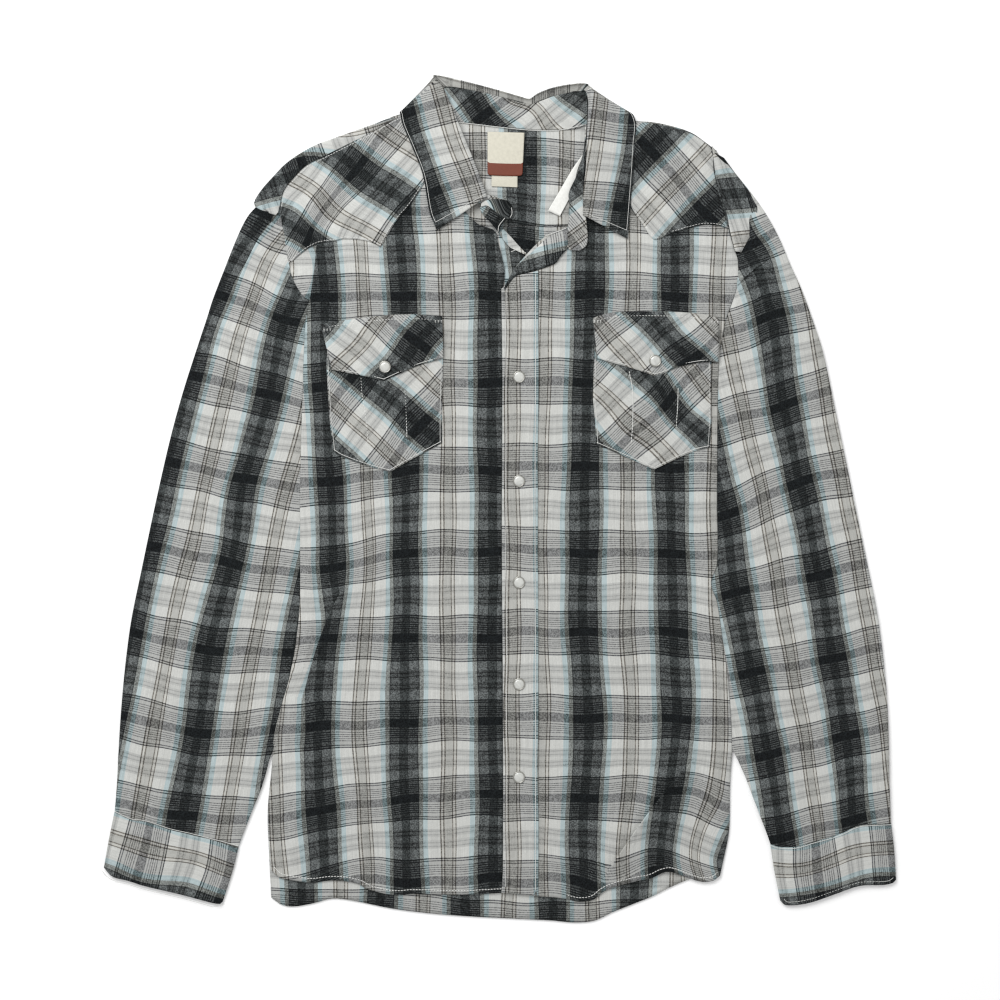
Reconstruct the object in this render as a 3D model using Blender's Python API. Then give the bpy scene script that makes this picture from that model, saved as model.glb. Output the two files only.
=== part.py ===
"""A long-sleeved plaid western snap shirt, laid flat on its back with its collar turned down.

Metres, +Z up. The origin is on the surface that it lies on, at the centre of its outline. +Y runs up the
body to the neck, and +X is the wearer's left. Tables are in millimetres, as (across, up) from that origin.
Every piece of cloth is one sheet, given its wall by a Solidify modifier, and laid on the sheet below it.
"""

from math import cos, pi, sin

import bmesh
import bpy
from mathutils import Vector

MM = 0.001

# Driving dimensions
CLOTH = 1.2  # wall of a sheet of cloth
GAP = 0.3  # between two pieces, at a seam or where one lies on another
LEVEL = CLOTH + GAP  # height from one layer to the next
LABEL = 1.0  # wall of a woven label
CENTRE_FRONT = 19.0  # the line of snaps
PLACKET_WIDTH = 35.0
YOKE_SEAM = 273.0  # height of the back yoke's lower seam
SNAP_WIDTH = 12.2
SNAP_HEIGHT = 2.4
SNAP_ROUND = 0.7
SEAM_GAP = 1.5  # where the shoulder seam's two curved edges are cut into short straights
POCKET_MOUTH = 165.0  # height of the pockets' top edges, under their flaps

# Outlines, each row (across, up)
BACK_HEM = (
    (-229, -399), (-208, -408), (-188, -405), (-168, -400), (-148, -402), (-108, -410), (-68, -415),
    (12, -420), (75, -424), (95, -422), (112, -414), (152, -398), (192, -380), (220, -377),
)
FRONT_HEM = (
    (-229, -371), (-213, -376), (-188, -383), (-168, -377), (-149, -378), (-133, -385), (-108, -391),
    (-54, -391), (3, -390), (35, -393), (64, -396), (92, -397), (112, -392), (143, -379), (172, -371),
    (191, -377), (206, -381), (220, -377),
)
RIGHT_SIDE = (  # side fold from the hem, then the armhole to the shoulder
    (-229, -371), (-232, -336), (-228, -266), (-219, -208), (-211, -180), (-203, -135), (-200, -97),
    (-200, -1), (-197, 116), (-194, 180), (-192, 196), (-198, 204), (-207, 220), (-211, 235),
    (-214, 248), (-217, 267), (-223, 282),
)
LEFT_SIDE = (
    (220, -377), (229, -336), (232, -247), (228, -180), (223, -144), (217, -103), (213, -84), (217, -65),
    (217, -1), (218, 116), (220, 148), (226, 180), (233, 199), (238, 215), (238, 237), (235, 248),
    (230, 265), (226, 282), (218, 308), (215, 329), (217, 348),
)
SHOULDERS = (  # from the right armhole, over the neck seam, to the left armhole
    (-244, 293), (-238, 309), (-228, 321), (-212, 337), (-186, 353), (-165, 361), (-148, 367),
    (-128, 374), (-98, 385), (-68, 382), (-43, 377), (-6, 373), (34, 369), (76, 370), (90, 375),
    (106, 378), (133, 376), (152, 377), (172, 373), (192, 366), (217, 348),
)
SHOULDER_CORNER = (-231.5, 286.5)  # between the right armhole and the first of these
RIGHT_SHOULDER_SEAM = (  # on the front, inside the turned-over edge of the back yoke
    (-223, 282), (-220, 292), (-216, 308), (-207, 320), (-194, 333), (-181, 340), (-149, 356),
    (-133, 364), (-100, 381), (-73, 384),
)
LEFT_SHOULDER_SEAM = ((104, 374), (133, 371), (152, 376), (172, 373), (192, 366), (217, 348))
RIGHT_NECK_SEAM = ((-73, 384), (-73, 364), (-64, 339), (-53, 316), (-40, 294), (-22, 275), (-5, 268))
LEFT_NECK_SEAM = ((105, 374), (94, 359), (84, 344), (76, 319), (69, 291), (67, 271))
YOKE_FOOT_RIGHT = (
    (-211, 235), (-194, 249), (-182, 255), (-156, 260), (-133, 258), (-119, 252), (-105, 276),
    (-89, 295), (-77, 314), (-64, 339),
)
YOKE_FOOT_LEFT = ((93, 338), (130, 292), (156, 259), (173, 266), (187, 272), (197, 273), (228, 271))
RIGHT_FRONT_TOP = (  # a lap under the yoke
    (-214, 247), (-194, 261), (-180, 268), (-156, 272), (-134, 270), (-122, 267), (-114, 284),
    (-98, 305), (-84, 327), (-64, 339),
)
LEFT_FRONT_TOP = ((84, 340), (118, 306), (146, 274), (156, 271), (173, 278), (187, 284), (226, 282))
OPEN_EDGE = ((3, 209), (11, 224), (19, 236), (46, 263), (67, 271))  # the left front's edge, rolled open
TURNED_EDGE = ((3, 209), (11, 220), (17, 224), (31, 227), (47, 232), (60, 240), (68, 250))
STRIP_SEAM = ((3, -390), (3, 211), (1, 247), (-5, 268))
STRIP_EDGE = ((38, -391), (38, 205), (34, 224), (27, 243), (4, 270))

# Flattened sleeves and cuffs, each row (inner across, inner up, outer across, outer up)
SLEEVE_RIGHT = (
    (-231, 285.5, -244, 291.5), (-223.8, 278.5, -252, 283), (-218.3, 265, -260, 268),
    (-214.8, 245, -268, 249), (-208, 221, -277, 226), (-198.3, 200, -287, 200), (-195.4, 174, -293, 181),
    (-197.5, 134, -302, 154), (-198.5, 79, -316.5, 107), (-200.8, 19, -329, 59), (-201, -51, -345.5, -9),
    (-202.5, -121, -358.5, -71), (-210, -169, -369, -123), (-220.8, -209, -375, -169),
    (-227.5, -246, -379, -213), (-238, -286, -381.5, -253), (-250, -316, -383, -283),
    (-262, -347.5, -385.5, -313.5),
)
SLEEVE_LEFT = (
    (218.5, 349, 224, 341), (216.3, 329, 235, 326), (219, 308, 248, 310), (227.5, 281, 264, 288),
    (231.5, 264, 278, 263), (239, 239, 290, 235), (239.2, 215, 302, 208), (227.5, 179, 316, 169),
    (219.2, 116, 323, 142), (218, 49, 337, 78), (218, -21, 352, 6), (218, -101, 368, -68),
    (225.2, -151, 378, -119), (229.2, -184, 385, -174), (233.8, -246, 388, -218),
    (247, -281, 389, -256), (259, -313, 389.5, -286), (271, -345.5, 391, -324.5),
)
CUFF_RIGHT = (
    (-262.2, -348.3, -385.7, -314.3), (-268, -373, -391, -343), (-278, -404.5, -396, -371),
)
CUFF_LEFT = ((271.1, -346.2, 391.1, -325.3), (275, -371, 394, -351), (282, -406, 396, -383))

# Chest pockets and their flaps
POCKET_RIGHT = ((-173, 126), (-171, 90), (-167, 48), (-135, 34), (-110, 27.5), (-93, 37), (-58, 56))
POCKET_LEFT = ((95, 114), (94, 78), (97, 55), (126, 42), (154, 29), (185, 44), (208, 52), (211, 72))
FLAPS = {  # the foot and the top of each
    "right": (((-168, 129), (-132, 122), (-116, 118), (-103, 124), (-85, 132), (-57, 141)),
              ((-178, 170), (-152, 179), (-115, 183), (-58, 183))),
    "left": (((98, 141), (128, 132), (153, 122), (183, 135), (214, 138)),
             ((93, 181), (110, 186), (153, 187), (201, 185), (217, 177))),
}
FRONT_SNAPS = (122, 18, -83.5, -185, -278)  # heights on the centre front, drawn together where it is full
FLAP_SNAPS = {"right": (-115, 132), "left": (155, 138)}

# Collar leaf, each row: seam to the stand, fold, outer edge (across and up), how far the row is in front
# (0 lies on the surface behind the neck, 1 lies on the fronts), and the height of its roll there
LEAF = (
    (-21, 300, -13, 301, -63, 269, 1.0, 8.0), (-28, 319, -20, 321, -71, 301, 1.0, 9.0),
    (-38, 343, -30, 346, -81, 338, 1.0, 9.5), (-50, 374, -43, 377, -95, 368, 1.0, 9.5),
    (-54, 392, -49, 402, -99, 383, 0.95, 9.5), (-54, 403, -60, 416, -100.4, 387, 0.75, 9.5),
    (-53, 407, -65, 422, -101, 388.5, 0.45, 9.5), (-51, 409, -62, 423, -99, 389, 0.15, 9.5),
    (-44, 411, -50, 420, -88, 387, 0.0, 9.5), (-20, 408, -20, 413, -25, 380, 0.0, 9.5),
    (16, 398.5, 16, 402, 12, 376, 0.0, 9.5), (31, 395, 30, 399.5, 34, 375, 0.0, 9.5),
    (52, 403, 51, 410, 56, 376, 0.0, 10.0), (73, 408, 72, 414.5, 96, 382, 0.0, 11.0),
    (78, 408, 83, 416, 126, 384, 0.15, 12.0), (80, 406, 88, 415.5, 135, 382, 0.45, 12.5),
    (82, 403, 89, 411, 136, 379, 0.75, 13.0), (83, 396, 90, 399, 136, 371, 0.95, 13.0),
    (83, 373, 90, 374, 134.5, 351, 1.0, 13.0), (82, 343, 88.5, 344, 133, 321, 1.0, 13.0),
    (80, 312, 86, 314, 130, 289, 1.0, 12.5), (78, 286, 84, 282, 127, 260.5, 1.0, 11.5),
)
# Collar stand, each row: its top edge and its neck edge (across, up and height)
STAND = (
    (12, 285, 3.9, 9, 274, 3.9), (7, 292, 3.9, 3, 268.6, 3.9), (-3, 297, 3.9, -13, 272.5, 3.9),
    (-18, 298, 3.9, -26, 281.5, 3.8), (-30, 318, 4.8, -40, 297, 3.6), (-40, 342.5, 5.3, -60, 334, 3.6),
    (-52, 373, 5.3, -71, 362, 3.6), (-56, 392, 4.9, -71.5, 376, 3.6), (-55.5, 400, 4.4, -71.5, 381.5, 3.3),
    (-53.5, 403.5, 3.6, -69.5, 384.2, 2.6), (-46, 408.5, 3.3, -57, 382.3, 2.1),
    (-20, 407.5, 3.9, -22, 377.4, 2.1), (16, 398, 3.9, 15, 373.6, 2.1), (31, 394.5, 3.9, 34, 371.8, 2.1),
    (52, 402.5, 3.9, 58, 372.4, 2.1), (72, 407.4, 3.9, 82, 374.7, 2.1), (78, 404.5, 4.6, 97, 380.8, 2.4),
    (80.2, 401, 6.9, 102.5, 381, 3.0), (81, 394, 8.3, 102.8, 376, 3.6), (81, 373, 8.8, 93, 359.5, 3.6),
    (80, 344, 8.8, 84.6, 343, 3.8), (78.5, 316, 8.3, 76.6, 317, 4.6), (82, 296, 7.5, 70.5, 290, 5.2),
    (87.5, 280, 6.9, 67.2, 270, 6.6), (84, 257, 6.6, 68.5, 253, 6.6), (78.5, 249, 6.6, 73, 248.3, 6.6),
)

# Labels, each row (across, up): the foot from left to right, then the top from right to left
LABEL_MAIN = ((-12.5, 324.5), (22.5, 323.5), (24.5, 366.5), (-12.5, 367.5))
LABEL_SIZE = ((-8.5, 312.9), (17.5, 311.9), (17.5, 322.9), (-8.5, 323.9))
LABEL_CARE = ((49, 289), (59, 283), (72, 303), (83, 350))


def clear_scene():
    for thing in list(bpy.data.objects):
        bpy.data.objects.remove(thing, do_unlink=True)


def finish_of(name, colour, roughness, metallic=0.0):
    material = bpy.data.materials.new(name)
    material.use_nodes = True
    shader = material.node_tree.nodes["Principled BSDF"]
    shader.inputs["Base Color"].default_value = (*colour, 1.0)
    shader.inputs["Roughness"].default_value = roughness
    shader.inputs["Metallic"].default_value = metallic
    return material


def edge(points):
    """The point at a share of the length of a run of straight stretches."""
    points = [Vector(p) for p in points]
    reach = [0.0]
    for first, second in zip(points, points[1:]):
        reach.append(reach[-1] + (second - first).length)

    def at(share):
        wanted = share * reach[-1]
        i = next((i for i in range(1, len(points)) if wanted <= reach[i]), len(points) - 1)
        return points[i - 1].lerp(points[i], (wanted - reach[i - 1]) / (reach[i] - reach[i - 1]))

    return at


def between(points, low, high):
    """The stretch of a rising edge from one height to another."""
    def at(height):
        for first, second in zip(points, points[1:]):
            if first[1] <= height <= second[1]:
                share = (height - first[1]) / (second[1] - first[1])
                return (first[0] + share * (second[0] - first[0]), height)
        return points[0] if height < points[0][1] else points[-1]

    return [at(low)] + [p for p in points if low < p[1] < high] + [at(high)]


def moved(points, across, up=0.0):
    return [(p[0] + across, p[1] + up) for p in points]


def patch(foot, top, left, right, height):
    """Fills four edges: foot and top run left to right, left and right run foot to top."""
    foot, top, left, right = edge(foot), edge(top), edge(left), edge(right)

    def place(u, v):
        flat = (
            foot(u) * (1 - v) + top(u) * v + left(v) * (1 - u) + right(v) * u
            - foot(0) * (1 - u) * (1 - v) - foot(1) * u * (1 - v)
            - top(0) * (1 - u) * v - top(1) * u * v
        )
        return Vector((flat.x, flat.y, height(flat.x) if callable(height) else height))

    return place


def add_object(name, mesh, finish):
    thing = bpy.data.objects.new(name, mesh)
    mesh.materials.append(finish)
    bpy.context.scene.collection.objects.link(thing)
    return thing


def sheet(name, place, across, along, finish, wall=CLOTH):
    """A sheet of cloth: a grid laid out by place(u, v) in millimetres, with its wall centred on it."""
    mesh = bpy.data.meshes.new(name)
    bm = bmesh.new()
    bmesh.ops.create_grid(bm, x_segments=across, y_segments=along, size=0.5)
    for vert in bm.verts:
        vert.co = place(vert.co.x + 0.5, vert.co.y + 0.5) * MM
    bm.to_mesh(mesh)
    bm.free()
    thing = add_object(name, mesh, finish)
    solid = thing.modifiers.new("Wall", "SOLIDIFY")
    solid.thickness = wall * MM
    solid.offset = 0.0
    return thing


def ruled(name, rows, finish, wall=CLOTH):
    """A sheet laid out by rows of points."""
    def place(u, v):
        return Vector(rows[round(v * (len(rows) - 1))][round(u * (len(rows[0]) - 1))])

    return sheet(name, place, len(rows[0]) - 1, len(rows) - 1, finish, wall)


def height(level):
    """Middle of the wall of a sheet on a layer, counted from the surface."""
    return CLOTH / 2 + level * LEVEL


def blend(first, second, share):
    return first + (second - first) * share


def lap(across):
    """The left front lies one layer up over the snap strip, and comes down past it."""
    over, down = 55.0, 88.0
    share = min(1.0, max(0.0, (across - over) / (down - over)))
    return height(2 - share)


def back(cloth):
    left = [BACK_HEM[0]] + between(RIGHT_SIDE, RIGHT_SIDE[0][1], YOKE_SEAM - GAP)
    right = between(LEFT_SIDE, LEFT_SIDE[0][1], YOKE_SEAM - GAP)
    sheet("back_panel", patch(BACK_HEM, (left[-1], right[-1]), left, right, height(0)), 18, 24, cloth)


def back_yoke(cloth):
    """Lies over the shoulders. Its edge turns up to its seams, and on the right shoulder on to the front."""
    left = between(RIGHT_SIDE, YOKE_SEAM, RIGHT_SIDE[-1][1]) + [SHOULDER_CORNER, SHOULDERS[0]]
    right = between(LEFT_SIDE, YOKE_SEAM, LEFT_SIDE[-1][1])
    flat = patch((left[0], right[0]), SHOULDERS, left, right, height(0))
    strip = RIGHT_SHOULDER_SEAM[:8]
    front_seam = edge(strip)
    first, last = SHOULDERS[0][0], SHOULDERS[len(strip) - 1][0]
    columns, flat_rows, turns, strip_rows = 30, 5, 4, 2
    rows = [[] for _ in range(flat_rows + turns + strip_rows + 1)]
    for column in range(columns + 1):
        u = column / columns
        end = flat(u, 1)
        along = flat(min(1, u + 0.02), 1) - flat(max(0, u - 0.02), 1)
        outward = Vector((-along.y, along.x, 0)).normalized()
        turned = end.x < last
        radius = (height(2) - height(0)) / 2 if turned else GAP * 2
        centre = end - outward * radius
        for row in range(flat_rows):
            rows[row].append(flat(u, row / flat_rows))
        for turn in range(turns + 1):
            angle = -pi / 2 + turn / turns * (pi if turned else pi / 2)
            bend = outward * radius * cos(angle) + Vector((0, 0, radius + radius * sin(angle)))
            rows[flat_rows + turn].append(centre + bend)
        stop = rows[flat_rows + turns][-1]
        seam = stop + Vector((0, 0, GAP * strip_rows))
        if turned:
            seam = front_seam((end.x - first) / (last - first)).to_3d()
            seam.z = stop.z
            seam -= (seam - stop).normalized() * SEAM_GAP
        for row in range(1, strip_rows + 1):
            rows[flat_rows + turns + row].append(stop.lerp(seam, row / strip_rows))
    ruled("back_yoke", rows, cloth)


def fronts(cloth):
    """The right front ends at the seam of its snap strip. The left front laps over both."""
    left_hem = [p for p in FRONT_HEM if p[0] >= STRIP_SEAM[0][0]]
    right_hem = [p for p in FRONT_HEM if p[0] <= STRIP_SEAM[0][0]]
    side = between(RIGHT_SIDE, RIGHT_SIDE[0][1], RIGHT_FRONT_TOP[0][1])
    neck = list(reversed(moved(RIGHT_NECK_SEAM[2:-1], -GAP)))
    inner = moved(STRIP_SEAM, -GAP * 3) + neck
    sheet("front_right", patch(right_hem, RIGHT_FRONT_TOP, side, inner, height(1)), 12, 22, cloth)

    side = between(LEFT_SIDE, LEFT_SIDE[0][1], LEFT_FRONT_TOP[-1][1])
    neck = list(reversed(LEFT_NECK_SEAM[2:-1]))
    inner = [left_hem[0]] + list(OPEN_EDGE) + neck
    sheet("front_left", patch(left_hem, LEFT_FRONT_TOP, inner, side, lap), 14, 24, cloth)

    hem, top = (STRIP_SEAM[0], STRIP_EDGE[0]), (STRIP_SEAM[-1], STRIP_EDGE[-1])
    sheet("snap_strip", patch(hem, top, STRIP_SEAM, STRIP_EDGE, height(1)), 2, 16, cloth)


def front_yokes(cloth):
    """Pointed at the foot, and laid over the tops of the fronts."""
    side = [p for p in RIGHT_SIDE if p[1] >= YOKE_FOOT_RIGHT[0][1]]
    side = side[side.index(YOKE_FOOT_RIGHT[0]):]
    top = moved(RIGHT_SHOULDER_SEAM, SEAM_GAP, -SEAM_GAP)
    neck = list(reversed(RIGHT_NECK_SEAM[:3]))
    sheet("front_yoke_right", patch(YOKE_FOOT_RIGHT, top, side, neck, height(2)), 16, 6, cloth)

    side = between(LEFT_SIDE, YOKE_FOOT_LEFT[-1][1], LEFT_SIDE[-1][1])
    neck = [YOKE_FOOT_LEFT[0], LEFT_NECK_SEAM[1], LEFT_NECK_SEAM[0]]
    sheet("front_yoke_left", patch(YOKE_FOOT_LEFT, LEFT_SHOULDER_SEAM, neck, side, height(2)), 10, 6, cloth)


def placket(cloth):
    """The snap band on the left front. Its top is turned back where the neck is open."""
    foot = STRIP_SEAM[0]
    hem = (foot, (foot[0] + PLACKET_WIDTH, FRONT_HEM[9][1]))
    turned = moved(TURNED_EDGE, 0, -GAP * 3)
    top = [p for p in turned if p[0] < hem[1][0]] + [(hem[1][0], turned[3][1] + 2)]
    sheet("placket", patch(hem, top, (hem[0], top[0]), (hem[1], top[-1]), height(3)), 4, 16, cloth)
    start, columns, across = 0.06, 8, 3
    fold, free = edge(OPEN_EDGE), edge(TURNED_EDGE)
    rows = []
    for row in range(across + 1):
        rows.append([])
        for column in range(columns + 1):
            along = blend(start, 1.0, column / columns)
            point = fold(along).lerp(free(along), row / across)
            rows[-1].append((point.x, point.y, height(3)))
    ruled("placket_turnback", rows, cloth)


def sleeve_rows(table, loft):
    """Rings of a sheet folded flat: under from the seam to the outer fold, and back over to the seam."""
    rows = []
    for inner_x, inner_y, outer_x, outer_y in table:
        inner, outer = Vector((inner_x, inner_y, 0)), Vector((outer_x, outer_y, 0))
        out = (outer - inner).normalized()
        reach = (outer - inner).length - CLOTH / 2
        radius = (LEVEL + loft) / 2
        shares = (0, 0.3, 0.65, 1)
        row = [inner + out * (reach - radius) * s + Vector((0, 0, height(0))) for s in shares]
        for angle in (-pi / 4, 0, pi / 4):
            row.append(inner + out * (reach - radius + radius * cos(angle))
                       + Vector((0, 0, height(0) + radius + radius * sin(angle))))
        for share in reversed(shares):
            row.append(inner + out * (reach - radius) * share
                       + Vector((0, 0, height(1) + loft * sin(share * pi / 2))))
        rows.append(row)
    return rows


def sleeves_and_cuffs(cloth):
    for side, sleeve, cuff in (("right", SLEEVE_RIGHT, CUFF_RIGHT), ("left", SLEEVE_LEFT, CUFF_LEFT)):
        ruled("sleeve_" + side, sleeve_rows(sleeve, 2.0), cloth)
        ruled("cuff_" + side, sleeve_rows(cuff, 1.2), cloth)


def pockets(cloth):
    """Each pocket runs up under its pointed flap."""
    mouth = ((-174, POCKET_MOUTH), (-58, POCKET_MOUTH))
    outer = (*reversed(POCKET_RIGHT[:3]), mouth[0])
    inner = (POCKET_RIGHT[-1], mouth[1])
    sheet("pocket_right", patch(POCKET_RIGHT[2:], mouth, outer, inner, height(2)), 8, 6, cloth)
    mouth = ((95, POCKET_MOUTH), (213, POCKET_MOUTH))
    inner = (*reversed(POCKET_LEFT[:3]), mouth[0])
    outer = (*POCKET_LEFT[-2:], mouth[1])
    sheet("pocket_left", patch(POCKET_LEFT[2:-1], mouth, inner, outer, height(2)), 8, 6, cloth)
    for side, (foot, top) in FLAPS.items():
        place = patch(foot, top, (foot[0], top[0]), (foot[-1], top[-1]), height(3))
        sheet("flap_" + side, place, 8, 4, cloth)


def collar(cloth):
    """The leaf folds over the stand: out behind the neck, and down on to the fronts at both sides."""
    rows = []
    for seam_x, seam_y, fold_x, fold_y, edge_x, edge_y, front, roll in LEAF:
        seam, fold, rim = Vector((seam_x, seam_y)), Vector((fold_x, fold_y)), Vector((edge_x, edge_y))
        seam_z = blend(height(2) + 0.3, roll - 2.6, front)
        fold_z = blend(2.3, roll - 1.3, front)
        rim_z = blend(height(0), height(3), front)
        near_z = 2 * fold_z - seam_z
        path = (
            (seam, seam_z), (seam.lerp(fold, 0.6), blend(seam_z, fold_z, 0.25)), (fold, fold_z),
            (fold.lerp(rim, 0.05), blend(fold_z, near_z, 0.75)), (fold.lerp(rim, 0.16), near_z),
            (fold.lerp(rim, 0.5), blend(near_z, rim_z, 0.55)), (rim, rim_z),
        )
        rows.append([(p.x, p.y, max(z, height(0))) for p, z in path])
    ruled("collar_leaf", rows, cloth)
    rows = []
    for top_x, top_y, top_z, neck_x, neck_y, neck_z in STAND:
        top, neck = Vector((top_x, top_y, top_z)), Vector((neck_x, neck_y, neck_z))
        rows.append([top, top.lerp(neck, 0.5), neck])
    ruled("collar_stand", rows, cloth)


def labels(woven, printed):
    """Bare labels, lying on the back yoke inside the neck."""
    middle = CLOTH + GAP + LABEL / 2
    for name, corners, finish in (
        ("label_main", LABEL_MAIN, woven),
        ("label_size", LABEL_SIZE, printed),
        ("label_care", LABEL_CARE, printed),
    ):
        foot_left, foot_right, top_right, top_left = corners
        place = patch((foot_left, foot_right), (top_left, top_right), (foot_left, top_left),
                      (foot_right, top_right), middle)
        sheet(name, place, 2, 3, finish, LABEL)


def snap(name, across, up, level, pearl):
    """A capped snap's face: a short turned cap with a rounded rim."""
    mesh = bpy.data.meshes.new(name)
    bm = bmesh.new()
    radius = SNAP_WIDTH / 2 * MM
    bmesh.ops.create_cone(bm, cap_ends=True, segments=20, radius1=radius, radius2=radius,
                          depth=SNAP_HEIGHT * MM)
    crown = [e for e in bm.edges if all(v.co.z > 0 for v in e.verts)]
    bmesh.ops.bevel(bm, geom=crown, offset=SNAP_ROUND * MM, affect="EDGES", segments=2, profile=0.5,
                    material=-1)
    base = height(level) + CLOTH / 2 + GAP
    bmesh.ops.translate(bm, verts=bm.verts, vec=Vector((across, up, base + SNAP_HEIGHT / 2)) * MM)
    bm.to_mesh(mesh)
    bm.free()
    add_object(name, mesh, pearl)
    mesh.shade_smooth()
    mesh.set_sharp_from_angle(angle=pi / 6)


def snaps(pearl):
    for number, up in enumerate(FRONT_SNAPS):
        snap(f"snap_front_{number + 1}", CENTRE_FRONT, up, 3, pearl)
    for side, (across, up) in FLAP_SNAPS.items():
        snap("snap_flap_" + side, across, up, 3, pearl)


clear_scene()
plaid = finish_of("plaid cotton", (0.30, 0.31, 0.31), 0.9)
satin = finish_of("woven label satin", (0.72, 0.70, 0.62), 0.6)
tape = finish_of("printed label tape", (0.80, 0.80, 0.78), 0.7)
pearl = finish_of("pearl snap", (0.85, 0.86, 0.84), 0.2)
back(plaid)
back_yoke(plaid)
fronts(plaid)
front_yokes(plaid)
placket(plaid)
sleeves_and_cuffs(plaid)
pockets(plaid)
collar(plaid)
labels(satin, tape)
snaps(pearl)
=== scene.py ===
"""The looks of a long-sleeved plaid western snap shirt, laid flat on its back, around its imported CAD.

Metres, +Z up, in the CAD's frame: the origin is on the table at the middle of the shirt's outline, +Y runs
up the body to the neck and +X is the wearer's left. Tables are in millimetres, as (across, up).
"""

from math import cos, pi, radians, sin

import bmesh
import bpy
import numpy as np
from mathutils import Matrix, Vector


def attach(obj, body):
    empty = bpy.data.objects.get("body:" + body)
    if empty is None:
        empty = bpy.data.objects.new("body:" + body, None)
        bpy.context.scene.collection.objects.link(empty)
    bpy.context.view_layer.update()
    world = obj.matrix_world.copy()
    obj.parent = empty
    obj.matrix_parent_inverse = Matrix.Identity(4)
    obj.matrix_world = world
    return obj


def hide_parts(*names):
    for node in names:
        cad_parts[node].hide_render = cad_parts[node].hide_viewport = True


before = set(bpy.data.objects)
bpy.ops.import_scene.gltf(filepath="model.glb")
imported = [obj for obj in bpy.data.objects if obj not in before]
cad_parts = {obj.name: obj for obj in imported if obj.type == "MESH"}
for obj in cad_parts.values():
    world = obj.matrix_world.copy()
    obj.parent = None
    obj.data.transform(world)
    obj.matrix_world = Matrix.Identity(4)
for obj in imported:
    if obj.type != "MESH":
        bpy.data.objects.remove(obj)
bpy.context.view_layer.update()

# ---------------------------------------------------------------------------------------------------------
# Back panel: the plain lower sheet, cut from yarn-dyed plaid shirting and laid face down. Only its hem
# shows below the fronts. Every other panel is cut from the same cloth, so the cloth is woven here.

MM = 0.001
CLOTH = 0.55  # two layers of shirting at a pressed edge are about this thick
WELD = 0.02  # points of a mesh nearer than this are one
WARP = 88.8  # repeat of the plaid across the cloth
WEFT = 85.0  # repeat of the plaid along the cloth
PULL_REACH = 18.0  # how gently the plaid bends at a place where the cloth is pulled


def linear(code):
    """The linear colour of an sRGB hex value."""
    shares = (int(code[i:i + 2], 16) / 255 for i in (0, 2, 4))
    return (*((s / 12.92 if s < 0.04045 else ((s + 0.055) / 1.055) ** 2.4) for s in shares), 1.0)


def wire(node, links):
    """Gives a shader node's inputs their values or links."""
    for socket, value in links.items():
        if isinstance(value, bpy.types.NodeSocket):
            node.id_data.links.new(value, node.inputs[socket])
        else:
            node.inputs[socket].default_value = value


def add(tree, kind, links=None, **settings):
    """Adds a shader node with its settings, and gives its inputs their values or links."""
    node = tree.nodes.new("ShaderNode" + kind)
    for name, value in settings.items():
        setattr(node, name, value)
    wire(node, links or {})
    return node


def blank(name):
    """A new material, its nodes and its shader."""
    material = bpy.data.materials.new(name)
    material.use_nodes = True
    return material, material.node_tree, material.node_tree.nodes["Principled BSDF"]


def yarns(tree, share, repeat, stops):
    """Stripes of yarn across a repeat. Each stop is where a stripe starts, in millimetres, and its colour."""
    ramp = add(tree, "ValToRGB", {"Fac": share})
    ramp.color_ramp.interpolation = "CONSTANT"
    stripes = ramp.color_ramp.elements  # a new ramp has two
    for number, (start, colour) in enumerate(stops):
        stop = stripes[number] if number < 2 else stripes.new(start / repeat)
        stop.position = start / repeat
        stop.color = linear(colour) if isinstance(colour, str) else (colour, colour, colour, 1.0)
    return ramp.outputs["Color"]


# The warp, from the middle of a dark stripe: where each stripe starts, and its colour where it crosses white
# weft and where it crosses grey weft
WARP_STRIPES = (
    (0.0, "3f4343", "131515"), (4.8, "616565", "272929"), (13.6, "4a4d4d", "1a1c1c"),
    (14.6, "8d918e", "6c6f6c"), (18.8, "b9c8ca", "899799"), (23.6, "d2d3cf", "a4a5a3"),
    (36.4, "84817a", "5f5d58"), (37.6, "cdccc6", "9f9e9a"), (39.4, "84817a", "5f5d58"),
    (40.6, "bcbcb7", "93938f"), (48.0, "84817a", "5f5d58"), (49.2, "cdccc6", "9f9e9a"),
    (51.0, "84817a", "5f5d58"), (52.2, "d2d3cf", "a4a5a3"), (65.0, "b9c8ca", "899799"),
    (69.8, "8d918e", "6c6f6c"), (74.2, "4a4d4d", "1a1c1c"), (75.2, "616565", "272929"),
    (84.0, "3f4343", "131515"),
)
# The weft, from the middle of a grey band outwards, and the same mirrored: where each stripe starts, and how
# dark its yarn is, from 0 for white over 0.5 for grey
WEFT_STRIPES = (
    (0.0, 0.77), (4.6, 0.31), (6.3, 0.75), (7.3, 0.29), (8.5, 0.75), (9.5, 0.29), (10.6, 0.75), (11.6, 0.29),
    (12.7, 0.75), (13.7, 0.29), (14.8, 0.75), (15.8, 0.32), (19.3, 0.95), (20.4, 0.32), (21.6, 0.95),
    (22.8, 0.0), (32.3, 0.23), (34.0, 0.43), (35.2, 0.23), (37.8, 0.43), (39.0, 0.23), (40.7, 0.11),
)
GREY_DEPTH = 0.5  # of the weft that gives the warp's second colour
BLACKEST = (0.008, 0.010, 0.011)  # the darkest dye still gives back this much light
FLECK = 0.9  # where dark and pale yarns cross. It is 0.3 mm in the cloth, and coarser here so that it shows


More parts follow.
